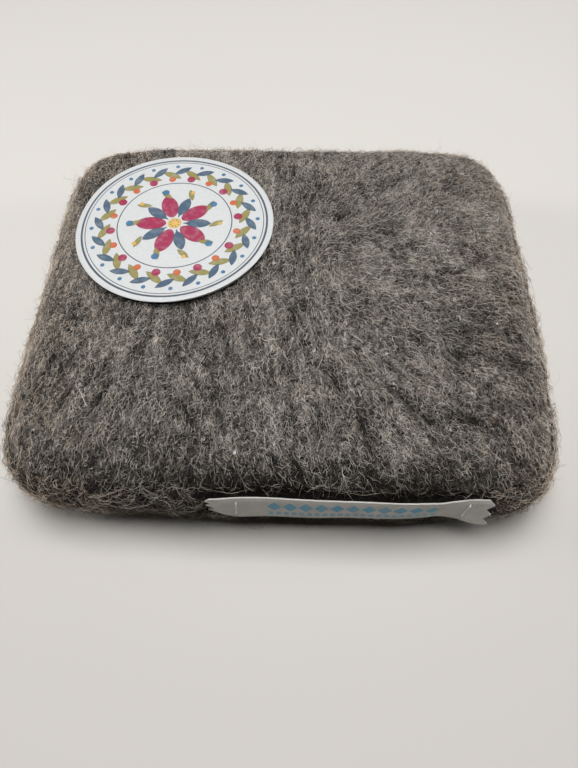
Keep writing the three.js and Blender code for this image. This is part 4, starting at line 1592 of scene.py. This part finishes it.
def thread_tree():
    """Two plies twisted round each other along a path."""
    sockets = [
        ("Path", "NodeSocketGeometry", None),
        ("Width", "NodeSocketFloat", thread_width),
        ("Twist", "NodeSocketFloat", 2 * math.pi / (1.1 * mm)),
        ("Finish", "NodeSocketMaterial", None),
    ]
    outputs = [("Thread", "NodeSocketGeometry")]
    tree, start, end = new_group("two_ply_thread", "GeometryNodeTree", sockets, outputs)
    given = start.outputs
    path = add_node(tree, "GeometryNodeMeshToCurve", {"Mesh": given["Path"]}).outputs[0]
    inputs = {"Curve": path}
    path = add_node(tree, "GeometryNodeCurveSplineType", inputs, spline_type="CATMULL_ROM").outputs[0]
    path = add_node(tree, "GeometryNodeResampleCurve", {"Curve": path, "Count": 90}).outputs[0]
    way = tree.nodes.new("GeometryNodeSplineParameter").outputs["Length"]
    tilt = calc(tree, "MULTIPLY", way, given["Twist"])
    path = add_node(tree, "GeometryNodeSetCurveTilt", {"Curve": path, "Tilt": tilt}).outputs[0]
    quarter = calc(tree, "MULTIPLY", given["Width"], 0.25)
    ply = {"Resolution": 7, "Radius": calc(tree, "MULTIPLY", quarter, 1.15)}
    ply = add_node(tree, "GeometryNodeCurvePrimitiveCircle", ply).outputs[0]
    pair = tree.nodes.new("GeometryNodeJoinGeometry")
    for side in (1.0, -1.0):
        aside = combined(tree, calc(tree, "MULTIPLY", quarter, side))
        moved = add_node(tree, "GeometryNodeTransform", {"Geometry": ply, "Translation": aside}).outputs[0]
        tree.links.new(moved, pair.inputs[0])
    inputs = {"Curve": path, "Profile Curve": pair.outputs[0], "Fill Caps": True}
    thread = add_node(tree, "GeometryNodeCurveToMesh", inputs).outputs[0]
    tree.links.new(finished(tree, thread, given["Finish"]), end.inputs[0])
    return tree


def spun_thread():
    """White sewing thread with a soft sheen."""
    material, tree, shader = new_material("spun_thread", 0.5, Specular_IOR_Level=0.5, Sheen_Weight=0.6)
    spun = clouds(tree, object_place(tree), 2600.0, 2.0)
    color = ramp(tree, spun, [(0.3, (0.90, 0.89, 0.87)), (0.7, (0.97, 0.965, 0.95))])
    tree.links.new(color, shader.inputs["Base Color"])
    bumped(tree, shader, spun, 0.05 * mm, 0.5)
    return material


# How a stitch goes in at its ends: how far in from the end, and how far out from the tape's back, in mm
stitch_tail = [(1.0, -3.6), (0.3, -1.8), (-0.1, 0.2)]
stitch_out = 0.74


def stitch_path(foot):
    """The thread's way out of the wool, over the tape and back in."""
    places = [(stitch_low + inward * mm, out) for inward, out in stitch_tail]
    places += [(up, stitch_out) for up in np.linspace(stitch_low, stitch_high, 5)]
    places += [(stitch_high - inward * mm, out) for inward, out in reversed(stitch_tail)]
    path = []
    for up, out in places:
        along = stitch_line(foot, up)
        path.append(tuple(label_point(along, up, tape_bend(along, up) + out * mm)))
    return path


def add_stitches():
    material = spun_thread()
    tree = thread_tree()
    for name, foot in stitch_feet.items():
        path = stitch_path(foot)
        host = bpy.data.meshes.new(name)
        host.from_pydata(path, [(index, index + 1) for index in range(len(path) - 1)], [])
        mesh = grown(f"thread_{name}", host, tree, {"Finish": material})
        piece = add_piece(f"thread_{name}", mesh, None)
        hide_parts(name)


add_camera()
add_studio()
block_outline = plan_outline(outline_steps)
block_grids = block_grid(block_profile(), block_outline)
add_skins(block_grids, block_outline)
add_batts()
add_nap(block_grids)
add_sticker()
add_tape()
add_stitches()
